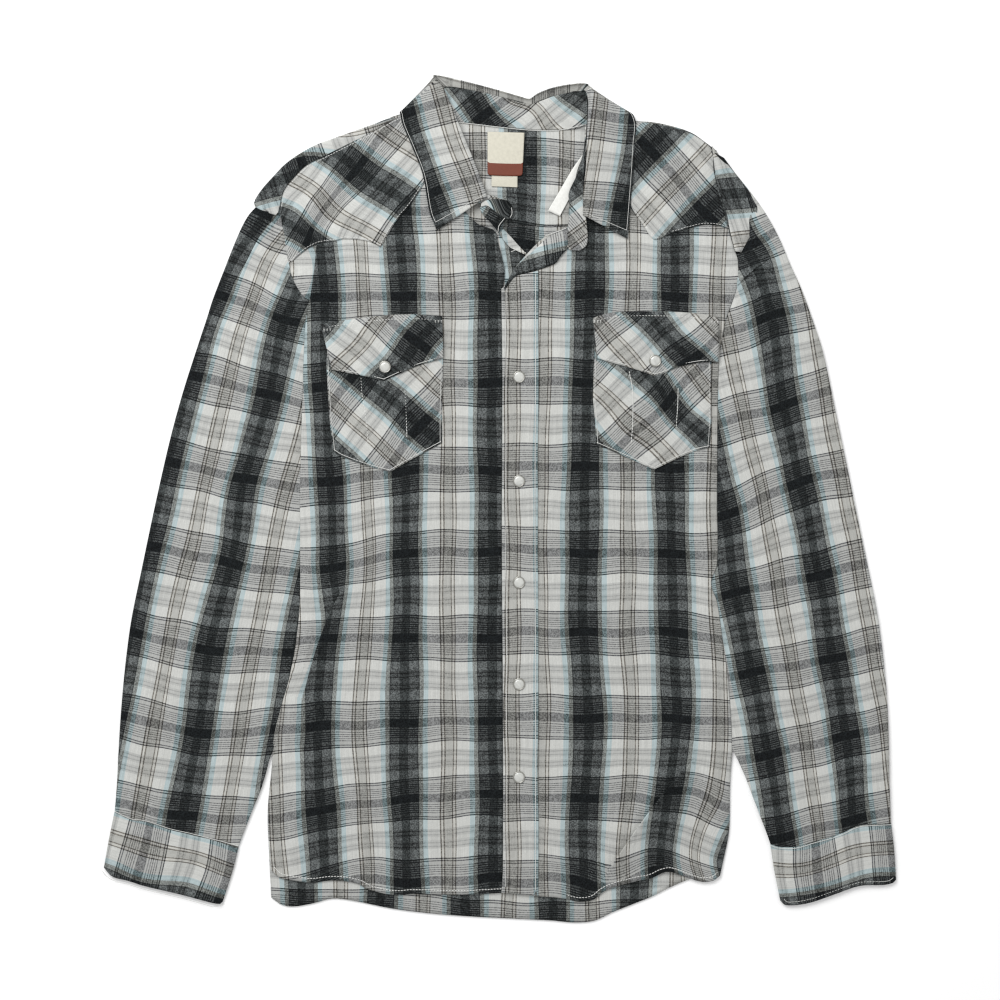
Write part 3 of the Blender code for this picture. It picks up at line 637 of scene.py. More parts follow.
CUFF_MARKS = {"right": (  # across, up, dark stripe, grey band
    (-355, -350, 0.5, 0), (-271, -370, 0.5, 1), (-312.4, -356.8, 0.5, 0.5), (-349, -324.5, 0.225, 0),
    (-267, -348, 0.225, 1), (-364.6, -374.3, 0.761, -0.03), (-385.4, -363.9, 0.761, -0.3),
    (-282.6, -402, 0.878, 1), (-310, -336, 0.225, 0.5),
), "left": (
    (316.5, -367, 0.5, 0), (391.8, -349.4, 0.5, 1), (354, -353, 0.5, 0.5), (275.5, -370.8, 0.5, -0.49),
    (314.5, -343.5, 0.225, 0), (389, -326, 0.225, 1), (275, -346.5, 0.225, -0.49), (318.8, -387, 0.761, 0),
    (341.9, -379.3, 0.761, 0.29), (367.6, -372.3, 0.761, 0.66), (395.4, -382, 0.878, 1),
    (281, -402, 0.878, -0.49), (299, -370.8, 0.5, -0.2),
)}
CUFF_FOLDS = {"right": (
    ((-330, -345), (-334, -362), (-338, -384), 7, 1.0), ((-300, -350), (-305, -368), (-312, -390), 9, -0.8),
), "left": (
    ((332, -345), (338, -362), (340, -384), 8, 1.1), ((296, -352), (300, -370), (304, -395), 8, -0.8),
)}
CUFF_LEAN = {"right": -104, "left": -85}  # degrees from the body
CUFF_BASE = 0.45
CUFF_LOFT = 3.6


def lie_cuff(side):
    """A flattened band. u runs under from the inner edge to the fold and back over it."""
    seam, foot, edges = curve(CUFF_SEAM[side]), curve(CUFF_FOOT[side]), curve(CUFF_EDGES[side])
    weave = laid_by(CUFF_LEAN[side], CUFF_MARKS[side])

    def at(u, v):
        a = (1 - np.cos(2 * pi * u)) / 2
        from_right = 1 - a if side == "right" else a
        inner, outer = edges(v)[:, :2], edges(v)[:, 2:]
        straight_seam, straight_foot = (
            end[:, :2] + (end[:, 2:] - end[:, :2]) * a[:, None] for end in (edges(0 * v), edges(0 * v + 1))
        )
        spot = inner + (outer - inner) * a[:, None] + (seam(from_right) - straight_seam) * (1 - v)[:, None]
        x, y = (spot + (foot(from_right) - straight_foot) * v[:, None]).T
        rise = CUFF_LOFT + creased(x, y, CUFF_FOLDS[side]) * ease(a, 0, 0.1) * ease(1 - a, 0, 0.1)
        rise += 0.5 * ease(v, 0.0, 0.05) - 0.7 * ease(v, 0.55, 1.0)
        rise -= 0.7 * ridge(v, 0.045, 0.02) + 0.5 * ridge(v, 0.93, 0.018)
        upper = u > 0.5
        round_end = np.abs(np.sin(2 * pi * u)) ** 0.45
        z = CUFF_BASE + (rise - CUFF_BASE) * (0.5 + np.where(upper, 0.5, -0.5) * round_end)
        warp, weft = weave(x, y)
        weft_at_fold = weave(*outer.T)[1]
        return x, y, z, warp, np.where(upper, weft, 2 * weft_at_fold - weft)

    return at


for side in ("right", "left"):
    cuff = cloth(f"cuff_{side}_cloth", lie_cuff(side), 110, 30, wall=0.9, closed=True)
    keep(cuff, f"cuff_{side}")

# ---------------------------------------------------------------------------------------------------------
# Fronts: two long panels of shirting, hemmed at the foot. The left one laps over the snap strip. Their
# sides roll down to the back panel, or over the sleeves' inner edges, and they hold most of the creases.

FRONT_HEM = (
    (-229, -371), (-220, -379), (-204, -382), (-188, -384), (-173, -382), (-159, -382), (-142, -385),
    (-133, -390), (-108, -396), (-87, -395), (-41, -396), (3, -394), (35, -397), (66, -400), (78, -403),
    (93, -401), (107, -391), (138, -382), (150, -380), (168, -373), (191, -380), (202, -383), (213, -382),
    (220, -377),
)
RIGHT_FRONT_TOP = (
    (-214, 247), (-194, 261), (-180, 268), (-156, 272), (-134, 270), (-122, 267), (-114, 284),
    (-98, 305), (-84, 327), (-64, 339),
)
LEFT_FRONT_TOP = ((84, 340), (118, 306), (146, 274), (156, 271), (173, 278), (187, 284), (226, 282))
RIGHT_NECK = (
    (3, 211), (4.5, 227), (2.5, 239), (-1.5, 255), (-5, 268), (-22, 275), (-40, 294), (-53, 316), (-64, 339),
)
OPEN_EDGE = ((3, 209), (11, 224), (19, 236), (46, 263), (67, 271))  # the left front's edge, rolled open
LEFT_NECK = ((69, 291), (76, 319), (84, 340))
FRONT_EDGE = 3  # both fronts reach here: the left one laps, and the right one carries on as the strip
SIDE_ROLL = 9.0  # reach of the rolled side edges
TUCKS = {  # start, bend, end, reach, rise, and how much plaid each hides across and along
    "right": (
        ((-153, -82), (-179, -137), (-197, -201), 18, 4.0, -15.0, 2.0),
        ((-168, -203), (-180, -226), (-197, -250), 9, 1.5, -4.0, 0.0),
        ((-182, 276), (-185, 234), (-191, 194), 9, 1.8, -16.0, 0.0),
    ),
    "left": (
        ((193, -262), (148, -313), (97, -390), 16, 4.6, 0.0, 14.0),
    ),
}
FRONT_FOLDS = (  # start, bend, end, half width, rise
    ((-150, -60), (-172, -110), (-188, -190), 11, 2.0), ((-128, -78), (-150, -140), (-160, -210), 14, -1.3),
    ((-196, -60), (-190, -110), (-197, -170), 6, 1.5), ((-203, -128), (-198, -142), (-190, -156), 5, 1.4),
    ((-170, -205), (-183, -228), (-198, -250), 7, -1.6), ((-160, -190), (-172, -230), (-176, -290), 10, 1.4),
    ((-186, 200), (-187, 120), (-183, 30), 8, 1.1), ((-176, 60), (-168, 0), (-160, -60), 10, -1.0),
    ((-150, -300), (-140, -330), (-134, -385), 7, 1.5), ((-178, -310), (-176, -340), (-172, -380), 7, -1.3),
    ((-206, -290), (-204, -330), (-208, -372), 7, 1.1), ((-128, -310), (-120, -345), (-118, -392), 8, -1.2),
    ((-92, -300), (-96, -340), (-92, -390), 9, 1.0), ((-58, -320), (-54, -350), (-60, -392), 9, -0.8),
    ((-60, 40), (-62, -60), (-56, -180), 16, 0.9), ((-24, 20), (-26, -90), (-22, -200), 10, -0.7),
    ((90, -80), (130, -98), (170, -104), 8, 1.0), ((100, -110), (140, -122), (184, -140), 7, -1.1),
    ((150, -88), (176, -112), (204, -126), 7, 1.3), ((120, -60), (160, -66), (206, -62), 7, -0.8),
    ((204, -60), (196, -84), (206, -108), 6, -1.6), ((190, -150), (200, -180), (196, -222), 9, 1.2),
    ((172, -160), (176, -210), (168, -270), 12, -1.0), ((191, -215), (178, -245), (160, -276), 8, 1.5),
    ((205, -250), (196, -290), (200, -350), 9, -1.2), ((216, -270), (214, -310), (218, -360), 7, 1.2),
    ((182, -300), (172, -335), (168, -372), 9, 1.4), ((150, -330), (148, -350), (150, -378), 7, -1.2),
    ((193, -256), (148, -306), (101, -374), 13, 2.2), ((60, -200), (64, -280), (60, -380), 12, 0.9),
    ((86, -300), (80, -340), (84, -398), 9, -1.1), ((112, -240), (118, -280), (112, -330), 12, 1.0),
    ((60, 60), (66, -20), (60, -120), 14, 0.8),
    ((196, 190), (200, 120), (196, 30), 9, 1.2), ((186, 20), (196, -20), (188, -56), 9, 1.0),
    ((110, 205), (140, 214), (180, 210), 9, 0.7), ((-150, 208), (-110, 214), (-60, 206), 9, 0.7),
)


BODY_LEVEL = 4.1  # height of the fronts over everything below them
HEM_LEVEL = 2.3
LAP = 0.75  # how much higher the left front lies over the snap strip
BODY_LENGTH = 640


def untucked_height(x, y):
    swell = 0.45 * np.sin(x / 31 + 1.2 * np.sin(y / 83)) + 0.35 * np.sin(y / 37 - x / 59)
    return BODY_LEVEL + swell + creased(x, y, FRONT_FOLDS)


def body_height(x, y):
    """Height of the fronts' cloth, before its edges roll down."""
    return untucked_height(x, y) + tucked(x, y, TUCKS["right"])[0] + tucked(x, y, TUCKS["left"])[0]


def body_roll(x, y, height):
    """Rolls the fronts' height down at the body's sides."""
    reach = np.clip(np.minimum(x - across_at(RIGHT_SIDE, y), across_at(LEFT_SIDE, y) - x) / SIDE_ROLL, 0, 1)
    edge = 1.4 + 2.1 * ease(y, -275, -235)
    return edge + (height - edge) * np.sqrt(1 - (1 - reach) ** 2)


def fall(height, level, up, low, high):
    """Lets a height fall smoothly to a level, from high down to low."""
    return height + (level - height) * (1 - ease(up, low, high))


def lapped(x):
    return LAP * (1 - ease(x, 42, 70))


def lie_front(side, place, weave):
    """Lays a front: its tucks, its rolled side, its hem's fall, its turned hem, and its lap."""
    def at(u, v):
        x, y, lift, slip = folded(*place(u, v), TUCKS[side])
        hem = v * BODY_LENGTH
        z = fall(body_roll(x, y, untucked_height(x, y) + lift), HEM_LEVEL, hem, -6, 34)
        z += 0.35 * (1 - ease(hem, 5.5, 7.5)) - 0.3 * ridge(hem, 6.5, 1.2)
        if side == "left":
            z += lapped(x)
        return x, y, z, *(np.array(weave(x, y)) + slip)

    return at


right_hem = [p for p in FRONT_HEM if p[0] <= FRONT_EDGE]
left_hem = [p for p in FRONT_HEM if p[0] >= FRONT_EDGE]
right_front_plaid = folded_plaid(0, (
    (-7.5, 203, 0, 0), (-96.3, 203, -1, 0), (-176, 201, -2, 0), (-7.5, 116.5, 0, -1), (-96, 116, -1, -1),
    (-174, 113, -2, -1), (-7.5, 28, 0, -2), (-95, 28, -1, -2), (-170, 17, -2, -2), (-7.5, -53.6, 0, -3),
    (-94.5, -53.6, -1, -3), (-167, -69.5, -2, -3), (-7.5, -139, 0, -4), (-95.5, -139.5, -1, -4),
    (-175, -138, -2, -4), (-7.5, -222, 0, -5), (-96, -224, -1, -5), (-181.5, -201, -2, -4.71),
    (-181.5, -228, -2, -5), (-7, -295, 0, -6), (-95, -300, -1, -6), (-133, -305, -1.46, -6),
    (-179, -311, -2, -6), (-225, -319, -2.52, -6), (-79.6, 264, -0.761, 0.72), (-81.7, 284, -0.761, 0.95),
    (-7, -379, 0, -7), (-93.5, -384, -1, -7), (-153, -382, -1.75, -7), (-174, -392, -2, -7),
), TUCKS["right"])
left_front_plaid = folded_plaid(0, (
    (90, 205, 0, 0), (174.5, 202, 1, 0), (87, 117, 0, -1), (172, 117, 1, -1), (84.4, 32, 0, -2),
    (170, 32, 1, -2), (84, -54, 0, -3), (171.6, -55, 1, -3), (83.2, -133, 0, -4), (172.6, -133, 1, -4),
    (200, -138, 1.3, -4), (87.9, -220, 0, -5), (177, -220, 1, -5), (84.8, -299, 0, -6), (140, -300, 0.66, -6),
    (198, -294, 1.34, -6), (226, -307, 1.65, -6), (46, -378, -0.43, -7), (84, -383, 0, -7),
    (107, -389, 0.27, -7), (160, -373, 1, -7), (191, -381, 1.36, -7), (211, -362, 1.761, -6.66),
    (214, -349.5, 1.761, -6.5), (220.5, -334, 1.761, -6.33), (46, 117, -0.46, -1),
), TUCKS["left"])
centre = [(FRONT_EDGE, up) for up in (-200, 0, 180)]
right_front_place = patch(
    right_hem, RIGHT_FRONT_TOP,
    [(-229, -371), *between(RIGHT_SIDE, -333, 235), RIGHT_FRONT_TOP[0]],
    [right_hem[-1], *centre, *RIGHT_NECK],
)
left_front_place = patch(
    left_hem, LEFT_FRONT_TOP, [left_hem[0], *centre, OPEN_EDGE[0], *OPEN_EDGE, *LEFT_NECK],
    between(LEFT_SIDE, -377, 282),
)
CLOSER = 1.2  # the mesh gets finer towards the sides by this power
for side, place, weave, flat, area in (
    ("right", lambda u, v: right_front_place(u ** CLOSER, v), right_front_plaid, (0.27, 0.72), 0.150),
    ("left", lambda u, v: left_front_place(1 - (1 - u) ** CLOSER, v), left_front_plaid, (0.26, 0.72), 0.146),
):
    sharp = near_tucks(TUCKS[side])
    front = cloth(f"front_{side}_cloth", lie_front(side, place, weave), 100, 240, sharp=sharp)
    keep(front, f"front_{side}")

# ---------------------------------------------------------------------------------------------------------
# Snap strip and placket: two straight bands, 35 mm wide, sewn down both edges, that carry the sockets and
# the caps. The band's top is turned back where the neck is open, showing its stitched wrong side.

STRIP_SEAM = ((3, -390), (3, 190), (2.5, 209), (4, 226), (2, 239), (-2, 255), (-6, 267))
STRIP_EDGE = ((38, -391), (38, 200), (34, 224), (27, 243), (4, 270))
STRIP_OPEN = 3.4  # height of the strip in the open neck
UNDER_FRONT = 0.9  # how far below the fronts it lies
strip_place = patch((STRIP_SEAM[0], STRIP_EDGE[0]), (STRIP_SEAM[-1], STRIP_EDGE[-1]), STRIP_SEAM, STRIP_EDGE)
strip_weave = laid_by(0, (
    (25, 241, 0, 0.5), (27.6, 222, 0, 0.28), (20.6, 267, 0, 0.8), (28, -300, 0, -5.9),
    (-16.4, 222, -0.5, 0.28),
))


def lie_strip(u, v):
    x, y = strip_place(u, v)
    opened = ease(y, 150, 215)
    z = body_height(x, y) * (1 - opened) + STRIP_OPEN * opened - UNDER_FRONT - 0.3 * ridge(u, 0.1, 0.04)
    return x, y, fall(z, 2.1, y, -392, -362), *strip_weave(x, y)


strip = cloth("snap_strip_cloth", lie_strip, 14, 260)
keep(strip, "snap_strip")

PLACKET_FOOT = ((1.5, -394), (18, -395), (38.5, -397))
PLACKET_TOP = ((1.5, 210), (11, 219), (17, 223), (38.5, 228))
placket_place = patch(
    PLACKET_FOOT, PLACKET_TOP, (PLACKET_FOOT[0], (3, -370), (3, -200), (2, -40), (2.5, 120), PLACKET_TOP[0]),
    (PLACKET_FOOT[-1], (38.5, -200), (38, 0), (38.5, 120), PLACKET_TOP[-1]),
)
placket_weave = laid_by(0, ((12.7, 117.2, 0.5017, -1), (12.7, -299.6, 0.5017, -6), (30, 117.2, 0.6965, -1)))
FRONT_SNAPS = (122, 18, -83.5, -185, -278)  # heights on the line of snaps
CENTRE_FRONT = 19.0
OVER_FRONT = 1.55  # how far above the fronts the placket lies


def dimple(x, y, across, up, reach_squared):
    """1 at a snap, fading away round it."""
    return np.exp(-((x - across) ** 2 + (y - up) ** 2) / reach_squared)


def placket_height(x, y):
    """Height of the placket, puckered by its stitches and pulled down by its snaps."""
    z = body_height(x, y) + OVER_FRONT + 0.28 * np.sin(y / 14 + 0.5 * np.sin(y / 51))
    for up in FRONT_SNAPS:
        z -= 0.8 * dimple(x, y, CENTRE_FRONT, up, 90)
    return fall(z, 3.7, y, -398, -366)


def lie_placket(u, v):
    x, y = placket_place(u, v)
    sewn = 0.35 * (ridge(u, 0.11, 0.035) + ridge(u, 0.93, 0.035))
    z = placket_height(x, y) - sewn - 0.5 * (1 - ease(u, 0, 0.04))
    return x, y, z, *placket_weave(x, y)


placket = cloth("placket_cloth", lie_placket, 36, 300, wall=0.8)
keep(placket, "placket")

TURNED_EDGE = (
    (5, 209), (9, 215), (15, 222), (23, 225), (37, 228.5), (50, 233), (56, 236), (60, 242), (68, 251),
)
TURNBACK_LEVEL = 5.9
turn_fold, turn_free = curve(OPEN_EDGE), curve(TURNED_EDGE)
turn_weave = laid_by(-75, (
    (30, 238.5, -0.164, -0.44), (55, 246, -0.164, -0.165), (47, 259, -0.332, -0.241),
    (49, 237, -0.086, -0.241),
))


def lie_turnback(u, v):
    """u runs along the open edge, v from its free edge to the roll."""
    fold, free = turn_fold(0.02 + 0.98 * u).T, turn_free(u).T
    x, y = free + (fold - free) * v
    crown = 1.5 * np.sin(pi * np.clip(v * 1.15, 0, 1)) ** 0.7 - 1.2 * ease(v, 0.8, 1.0)
    return x, y, TURNBACK_LEVEL + crown + 0.3 * np.sin(x / 7), *turn_weave(x, y)


turnback = cloth("placket_turnback_cloth", lie_turnback, 50, 16)
keep(turnback, "placket_turnback")

# ---------------------------------------------------------------------------------------------------------
# Front yokes: pointed western yokes, cut on the bias, with their edges turned under and topstitched on to
# the fronts. The left one is folded a little over the head of the sleeve.

YOKE_FOOT_RIGHT = (
    (-211, 235), (-194, 249), (-182, 255), (-164, 258), (-156, 260), (-133, 258), (-119, 252), (-119, 252),
    (-105, 276), (-89, 295), (-77, 314), (-64, 339),
)
YOKE_FOOT_LEFT = (
    (93, 338), (110, 320), (130, 303), (131, 293), (143, 274), (153, 260), (159, 260), (159, 260), (172, 266),
    (190, 271), (204, 274), (219, 273), (228, 270),
)
LEFT_SHOULDER_SEAM = (
    (104, 378), (120, 379), (135, 377), (152, 376), (172, 372), (192, 365), (207, 355), (216, 345),
)
YOKE_LIFT = 0.95  # how far above the fronts the yokes lie
YOKE_FOLDS = (  # start, bend, end, half width, rise
    ((-196, 330), (-186, 300), (-196, 262), 6, 1.6), ((-180, 318), (-170, 290), (-180, 262), 6, -1.4),
    ((-205, 300), (-196, 280), (-200, 252), 5, 1.4), ((-160, 340), (-140, 310), (-128, 270), 10, 1.1),
    ((-188, 262), (-176, 268), (-160, 264), 4, 1.2), ((-176, 336), (-158, 322), (-150, 296), 7, -1.0),
    ((-120, 360), (-110, 330), (-100, 300), 9, 0.9), ((140, 350), (160, 320), (170, 280), 10, 1.0),
    ((120, 352), (134, 322), (146, 290), 9, -0.9), ((190, 350), (204, 320), (212, 285), 7, 1.3),
    ((176, 340), (188, 312), (196, 286), 7, -1.1), ((156, 300), (176, 290), (196, 282), 6, 0.8),
)
yoke_places = {
    "right": patch(
        YOKE_FOOT_RIGHT, RIGHT_SHOULDER_SEAM[2:-1], [(-211, 235), (-214, 248), (-217, 267), (-220, 292)],
        [(-64, 339), (-73, 364), RIGHT_SHOULDER_SEAM[-2]],
    ),
    "left": patch(
        YOKE_FOOT_LEFT, LEFT_SHOULDER_SEAM, [(93, 338), (98, 359), (104, 378)],
        [(228, 270), (226, 282), (218, 308), (216, 345)],
    ),
}
yoke_weaves = {
    "right": laid_by(54, (
        (-143.3, 330.6, 0, 0), (-189, 260, -1, -0.04), (-217, 298.6, -0.761, 0.5),
        (-201.4, 290.8, -0.761, 0.33), (-193, 281.8, -0.761, 0.2), (-179.7, 269.8, -0.761, -0.15),
        (-167.8, 262.6, -0.761, -0.33), (-172.6, 291.6, -0.5, -0.03), (-177.4, 311.8, -0.4, 0.246),
        (-155.2, 293.8, -0.38, -0.246),
    )),
    "left": laid_by(-43, ((149.3, 350.1, 0, 0), (205.4, 285.7, 1, 0))),
}


def yoke_height(x, y):
    return body_roll(x, y, body_height(x, y) + YOKE_LIFT + creased(x, y, YOKE_FOLDS))


def lie_yoke(side):
    def at(u, v):
        x, y = yoke_places[side](u, v)
        z = yoke_height(x, y) - 0.35 * ridge(v, 0.055, 0.015)
        if side == "left":
            z -= 2.2 * ease(v, 0.93, 1.0) * ease(x, 88, 120)
        return x, y, z, *yoke_weaves[side](x, y)

    return at


for side in ("right", "left"):
    yoke = cloth(f"front_yoke_{side}_cloth", lie_yoke(side), 90, 56)
    keep(yoke, f"front_yoke_{side}")

# ---------------------------------------------------------------------------------------------------------
# Chest pockets: patch pockets cut on the bias and topstitched round three sides, each under a pointed
# flap that is sewn along its top and held down by one snap.

POCKETS = {  # foot, and the two ends up to the mouth
    "right": (
        ((-167, 48), (-159, 43), (-135, 34), (-110, 27), (-110, 27), (-93, 37), (-73, 48), (-58, 56)),
        ((-167, 48), (-169, 66), (-171, 90), (-173, 126), (-175, 165)),
        ((-58, 56), (-58, 90), (-57, 126), (-57, 165)),
    ),
    "left": (
        ((96, 55), (126, 42), (154, 29.5), (154, 29.5), (192, 47), (209.5, 51.5)),
        ((96, 55), (95, 78), (93, 101), (94, 138), (95, 165)),
        ((209.5, 51.5), (211, 72), (211, 100), (211, 134), (213, 165)),
    ),
}
FLAPS = {  # foot, top, and the two ends
    "right": (
        ((-168, 129), (-152, 126), (-132, 122), (-116, 118), (-116, 118), (-103, 124), (-85, 132), (-66, 138),
         (-56.5, 141)),
        ((-178, 170), (-176, 175), (-152, 179), (-115, 183.5), (-83, 184.5), (-58, 183)),
        ((-168, 129), (-173, 150), (-178, 170)), ((-56.5, 141), (-57, 160), (-58, 183)),
    ),
    "left": (
        ((97.5, 140.5), (109, 137), (127, 132), (143, 127), (154, 123), (154, 123), (165, 126), (178, 132),
         (202, 136.5), (218, 137)),
        ((93, 181), (110, 186), (153, 187.5), (201, 185), (218, 181)),
        ((97.5, 140.5), (95, 160), (93, 181)), ((218, 137), (219, 160), (218, 181)),
    ),
}
POCKET_WEAVES = {
    "right": laid_by(50, (
        (-80, 72, 0, 0), (-144, 127, 0, 1), (-105, 69, -0.239, 0.2), (-135, 69, -0.5, 0.47),
        (-165, 69, -0.761, 0.79),
    )),
    "left": laid_by(43, (
        (168, 97, 0, 0), (202, 63, 0, -0.565), (145, 127, 0, 0.445), (132, 74, -0.5, 0.09),
        (155.3, 92.3, -0.239, 0.07), (164.6, 78.7, -0.239, -0.13), (184.9, 58.4, -0.239, -0.47),
        (178.5, 109.3, 0.239, 0), (192.5, 92.3, 0.239, -0.24), (208.6, 78.7, 0.239, -0.48),
    )),
}
FLAP_WEAVES = {
    "right": laid_by(-40, ((-82, 156, 0, 0),)),
    "left": laid_by(41.5, ((190, 138, 0, 0), (138.3, 164, -0.239, 0.6), (190, 164, 0.239, 0.24))),
}
FLAP_SNAPS = {"right": (-115, 132), "left": (155, 138)}
POCKET_LIFT = 0.95  # how far above the fronts the pockets lie
FLAP_LIFT = 2.2  # and their flaps


def lie_pocket(side):
    foot, first, last = POCKETS[side]
    place = patch(foot, (first[-1], last[-1]), first, last)

    def at(u, v):
        x, y = place(u, v)
        z = body_roll(x, y, body_height(x, y)) + POCKET_LIFT + 0.35 * np.sin(pi * u) * np.sin(pi * v)
        z += 0.25 * np.sin(x / 8 + 0.9 * np.sin(y / 13)) - 0.3 * ridge(v, 0.5 / 13, 0.02)
        warp, weft = POCKET_WEAVES[side](x, y)
        return x, y, z, warp + 0.7 * np.sin(y / 11 + x / 29), weft + 0.7 * np.sin(x / 12)

    return at


def lie_flap(side):
    place = patch(*FLAPS[side])

    def at(u, v):
        x, y = place(u, v)
        z = body_roll(x, y, body_height(x, y)) + FLAP_LIFT + 0.7 * np.sin(pi * v)
        z += 0.5 * (1 - v) * np.cos(6 * pi * u) - 0.9 * ease(v, 0.92, 1.0)
        z -= 0.9 * dimple(x, y, *FLAP_SNAPS[side], 160)
        warp, weft = FLAP_WEAVES[side](x, y)
        return x, y, z, warp + 1.0 * np.sin(y / 9 + x / 23), weft + 0.8 * np.sin(x / 10)

    return at


for side in ("right", "left"):
    pocket = cloth(f"pocket_{side}_cloth", lie_pocket(side), 56, 64, wall=0.7)
    keep(pocket, f"pocket_{side}")
    flap = cloth(f"flap_{side}_cloth", lie_flap(side), 60, 30, wall=0.9)
    keep(flap, f"flap_{side}")

# ---------------------------------------------------------------------------------------------------------
# Collar: a stand sewn round the neck and a pointed leaf that rolls over it, both stiffened. The leaf lies
# out behind the neck as a narrow roll, and down on the front yokes at both sides, out to its points.

LEAF = (  # seam, roll and outer edge (across, up), how far in front it lies, and the height of its roll
    (-15, 300, -13, 301.5, -63, 268.5, 1.0, 8.5), (-19, 309, -15.5, 309, -70, 285, 1.0, 9.0),
    (-28, 333, -25, 334, -77, 323, 1.0, 9.5), (-39, 360, -36, 361, -88, 352, 1.0, 10.0),
    (-47, 377, -43, 378, -97, 373, 1.0, 10.5), (-54, 400, -53, 402, -99.5, 384, 0.97, 10.5),
    (-56, 411, -60, 415, -100, 386, 0.85, 10.0), (-56, 412, -66, 421.5, -98, 388, 0.45, 9.5),
    (-52, 412, -61, 421.3, -90, 388, 0.15, 9.5), (-44, 411.5, -46, 417.3, -76, 388, 0.0, 9.5),
    (-20, 406.8, -20, 411.3, -25, 384, 0.0, 9.5), (4, 401.3, 3, 405.3, 4, 380, 0.0, 9.5),
    (20, 397.3, 20, 400.4, 16, 378, 0.0, 9.5), (31, 394.4, 30, 398.4, 34, 377, 0.0, 9.5),
    (40, 398.3, 38, 403.3, 45, 378, 0.0, 9.5), (52, 402.3, 51, 408.2, 62, 382, 0.0, 10.0),
    (70, 406.2, 70, 412, 96, 386, 0.0, 11.0), (80, 407, 84, 413.4, 116, 386, 0.2, 12.0),
    (85, 408, 89, 411, 130, 386, 0.55, 13.0), (88, 400, 90, 404, 134, 382, 0.85, 13.5),
    (88, 385, 90, 385, 136, 372, 1.0, 13.5), (87, 360, 89, 360, 134.5, 355, 1.0, 13.5),
    (86, 331, 88, 332, 133, 330, 1.0, 13.0), (83, 304, 85.5, 302, 131, 303, 1.0, 12.5),
    (82, 284, 84.5, 282, 127.5, 260, 1.0, 11.5),
)
LEAF_SPREAD = (0, 0.0, 0.04, 0.14, 0.34, 0.6, 0.84, 1.0)  # from the roll to the outer edge
LEAF_DROP = (0, 0, 0.05, 0.02, 0.22, 0.62, 0.92, 1.0)
BEHIND_SPREAD = (0, 0.0, -0.03, -0.06, -0.05, 0.25, 0.62, 1.0)  # the same, behind the neck
BEHIND_DROP = (0, 0, 0.03, 0.35, 0.8, 1.0, 1.0, 1.0)
LEAF_RIM = (0.8, 5.9)  # height of the outer edge, behind the neck and in front
LEAF_SEAM = (5.4, -4.6)  # height of the seam behind the neck, and how far it is below the roll in front
leaf_rows = curve(LEAF)
leaf_right = laid_by(18, (
    (-97, 384, 0, 1), (-74, 369, 0.239, 0.754), (-59.5, 330, 0.239, 0.246), (-45.5, 291, 0.239, -0.246),
))
leaf_left = laid_by(-6, (
    (125.5, 291, 0, 0), (107, 292, -0.231, 0), (119, 348, -0.231, 0.65), (123, 381, -0.231, 1),
    (136, 336, 0, 0.52),
))


def smooth_path(path, u):
    """The place at a share of the way along the smooth line through each row of places."""
    steps = path.shape[1] - 1
    at = np.clip((u * steps).astype(int), 0, steps - 1)
    t = (u * steps - at)[:, None]
    row = np.arange(len(u))
    here, there = path[row, at], path[row, at + 1]
    before, after = path[row, np.maximum(at - 1, 0)], path[row, np.minimum(at + 2, steps)]
    return (here * (2 * t ** 3 - 3 * t ** 2 + 1) + there * (3 * t ** 2 - 2 * t ** 3)
            + (there - before) / 2 * (t ** 3 - 2 * t ** 2 + t) + (after - here) / 2 * (t ** 3 - t ** 2))


def lie_leaf(u, v):
    """u runs from the seam over the roll to the outer edge, v from one point round the neck to the other."""
    row = leaf_rows(v)
    seam, roll, rim = row[:, 0:2], row[:, 2:4], row[:, 4:6]
    front, top = row[:, 6], row[:, 7]
    rim_z = LEAF_RIM[0] + (LEAF_RIM[1] - LEAF_RIM[0]) * front
    seam_z = LEAF_SEAM[0] + (top + LEAF_SEAM[1] - LEAF_SEAM[0]) * front
    path = np.zeros((len(u), len(LEAF_SPREAD), 3))
    for step, behind in enumerate(BEHIND_SPREAD):
        spread = behind + (LEAF_SPREAD[step] - behind) * front
        drop = BEHIND_DROP[step] + (LEAF_DROP[step] - BEHIND_DROP[step]) * front
        path[:, step, :2] = roll + (rim - roll) * spread[:, None]
        path[:, step, 2] = top + (rim_z - top) * drop
    path[:, 0, :2] = seam
    path[:, 0, 2] = seam_z
    path[:, 1, 2] = seam_z + (top - seam_z) * 0.62
    x, y, z = smooth_path(path, u).T
    z = np.maximum(z, 0.6) + 0.35 * np.sin(pi * u) * np.sin(v * 60) * front
    side = ease(x, -10, 40)
    plaid_in_front = np.array(leaf_right(x, y)) * (1 - side) + np.array(leaf_left(x, y)) * side
    plaid_behind = np.stack((41 + 40 * u, 1.2 * (x + 20)))
    behind = 1 - ease(front, 0.05, 0.7)
    return x, y, z, *(plaid_in_front + (plaid_behind - plaid_in_front) * behind)


leaf = cloth("collar_leaf_cloth", lie_leaf, 48, 260, wall=0.9)
keep(leaf, "collar_leaf")

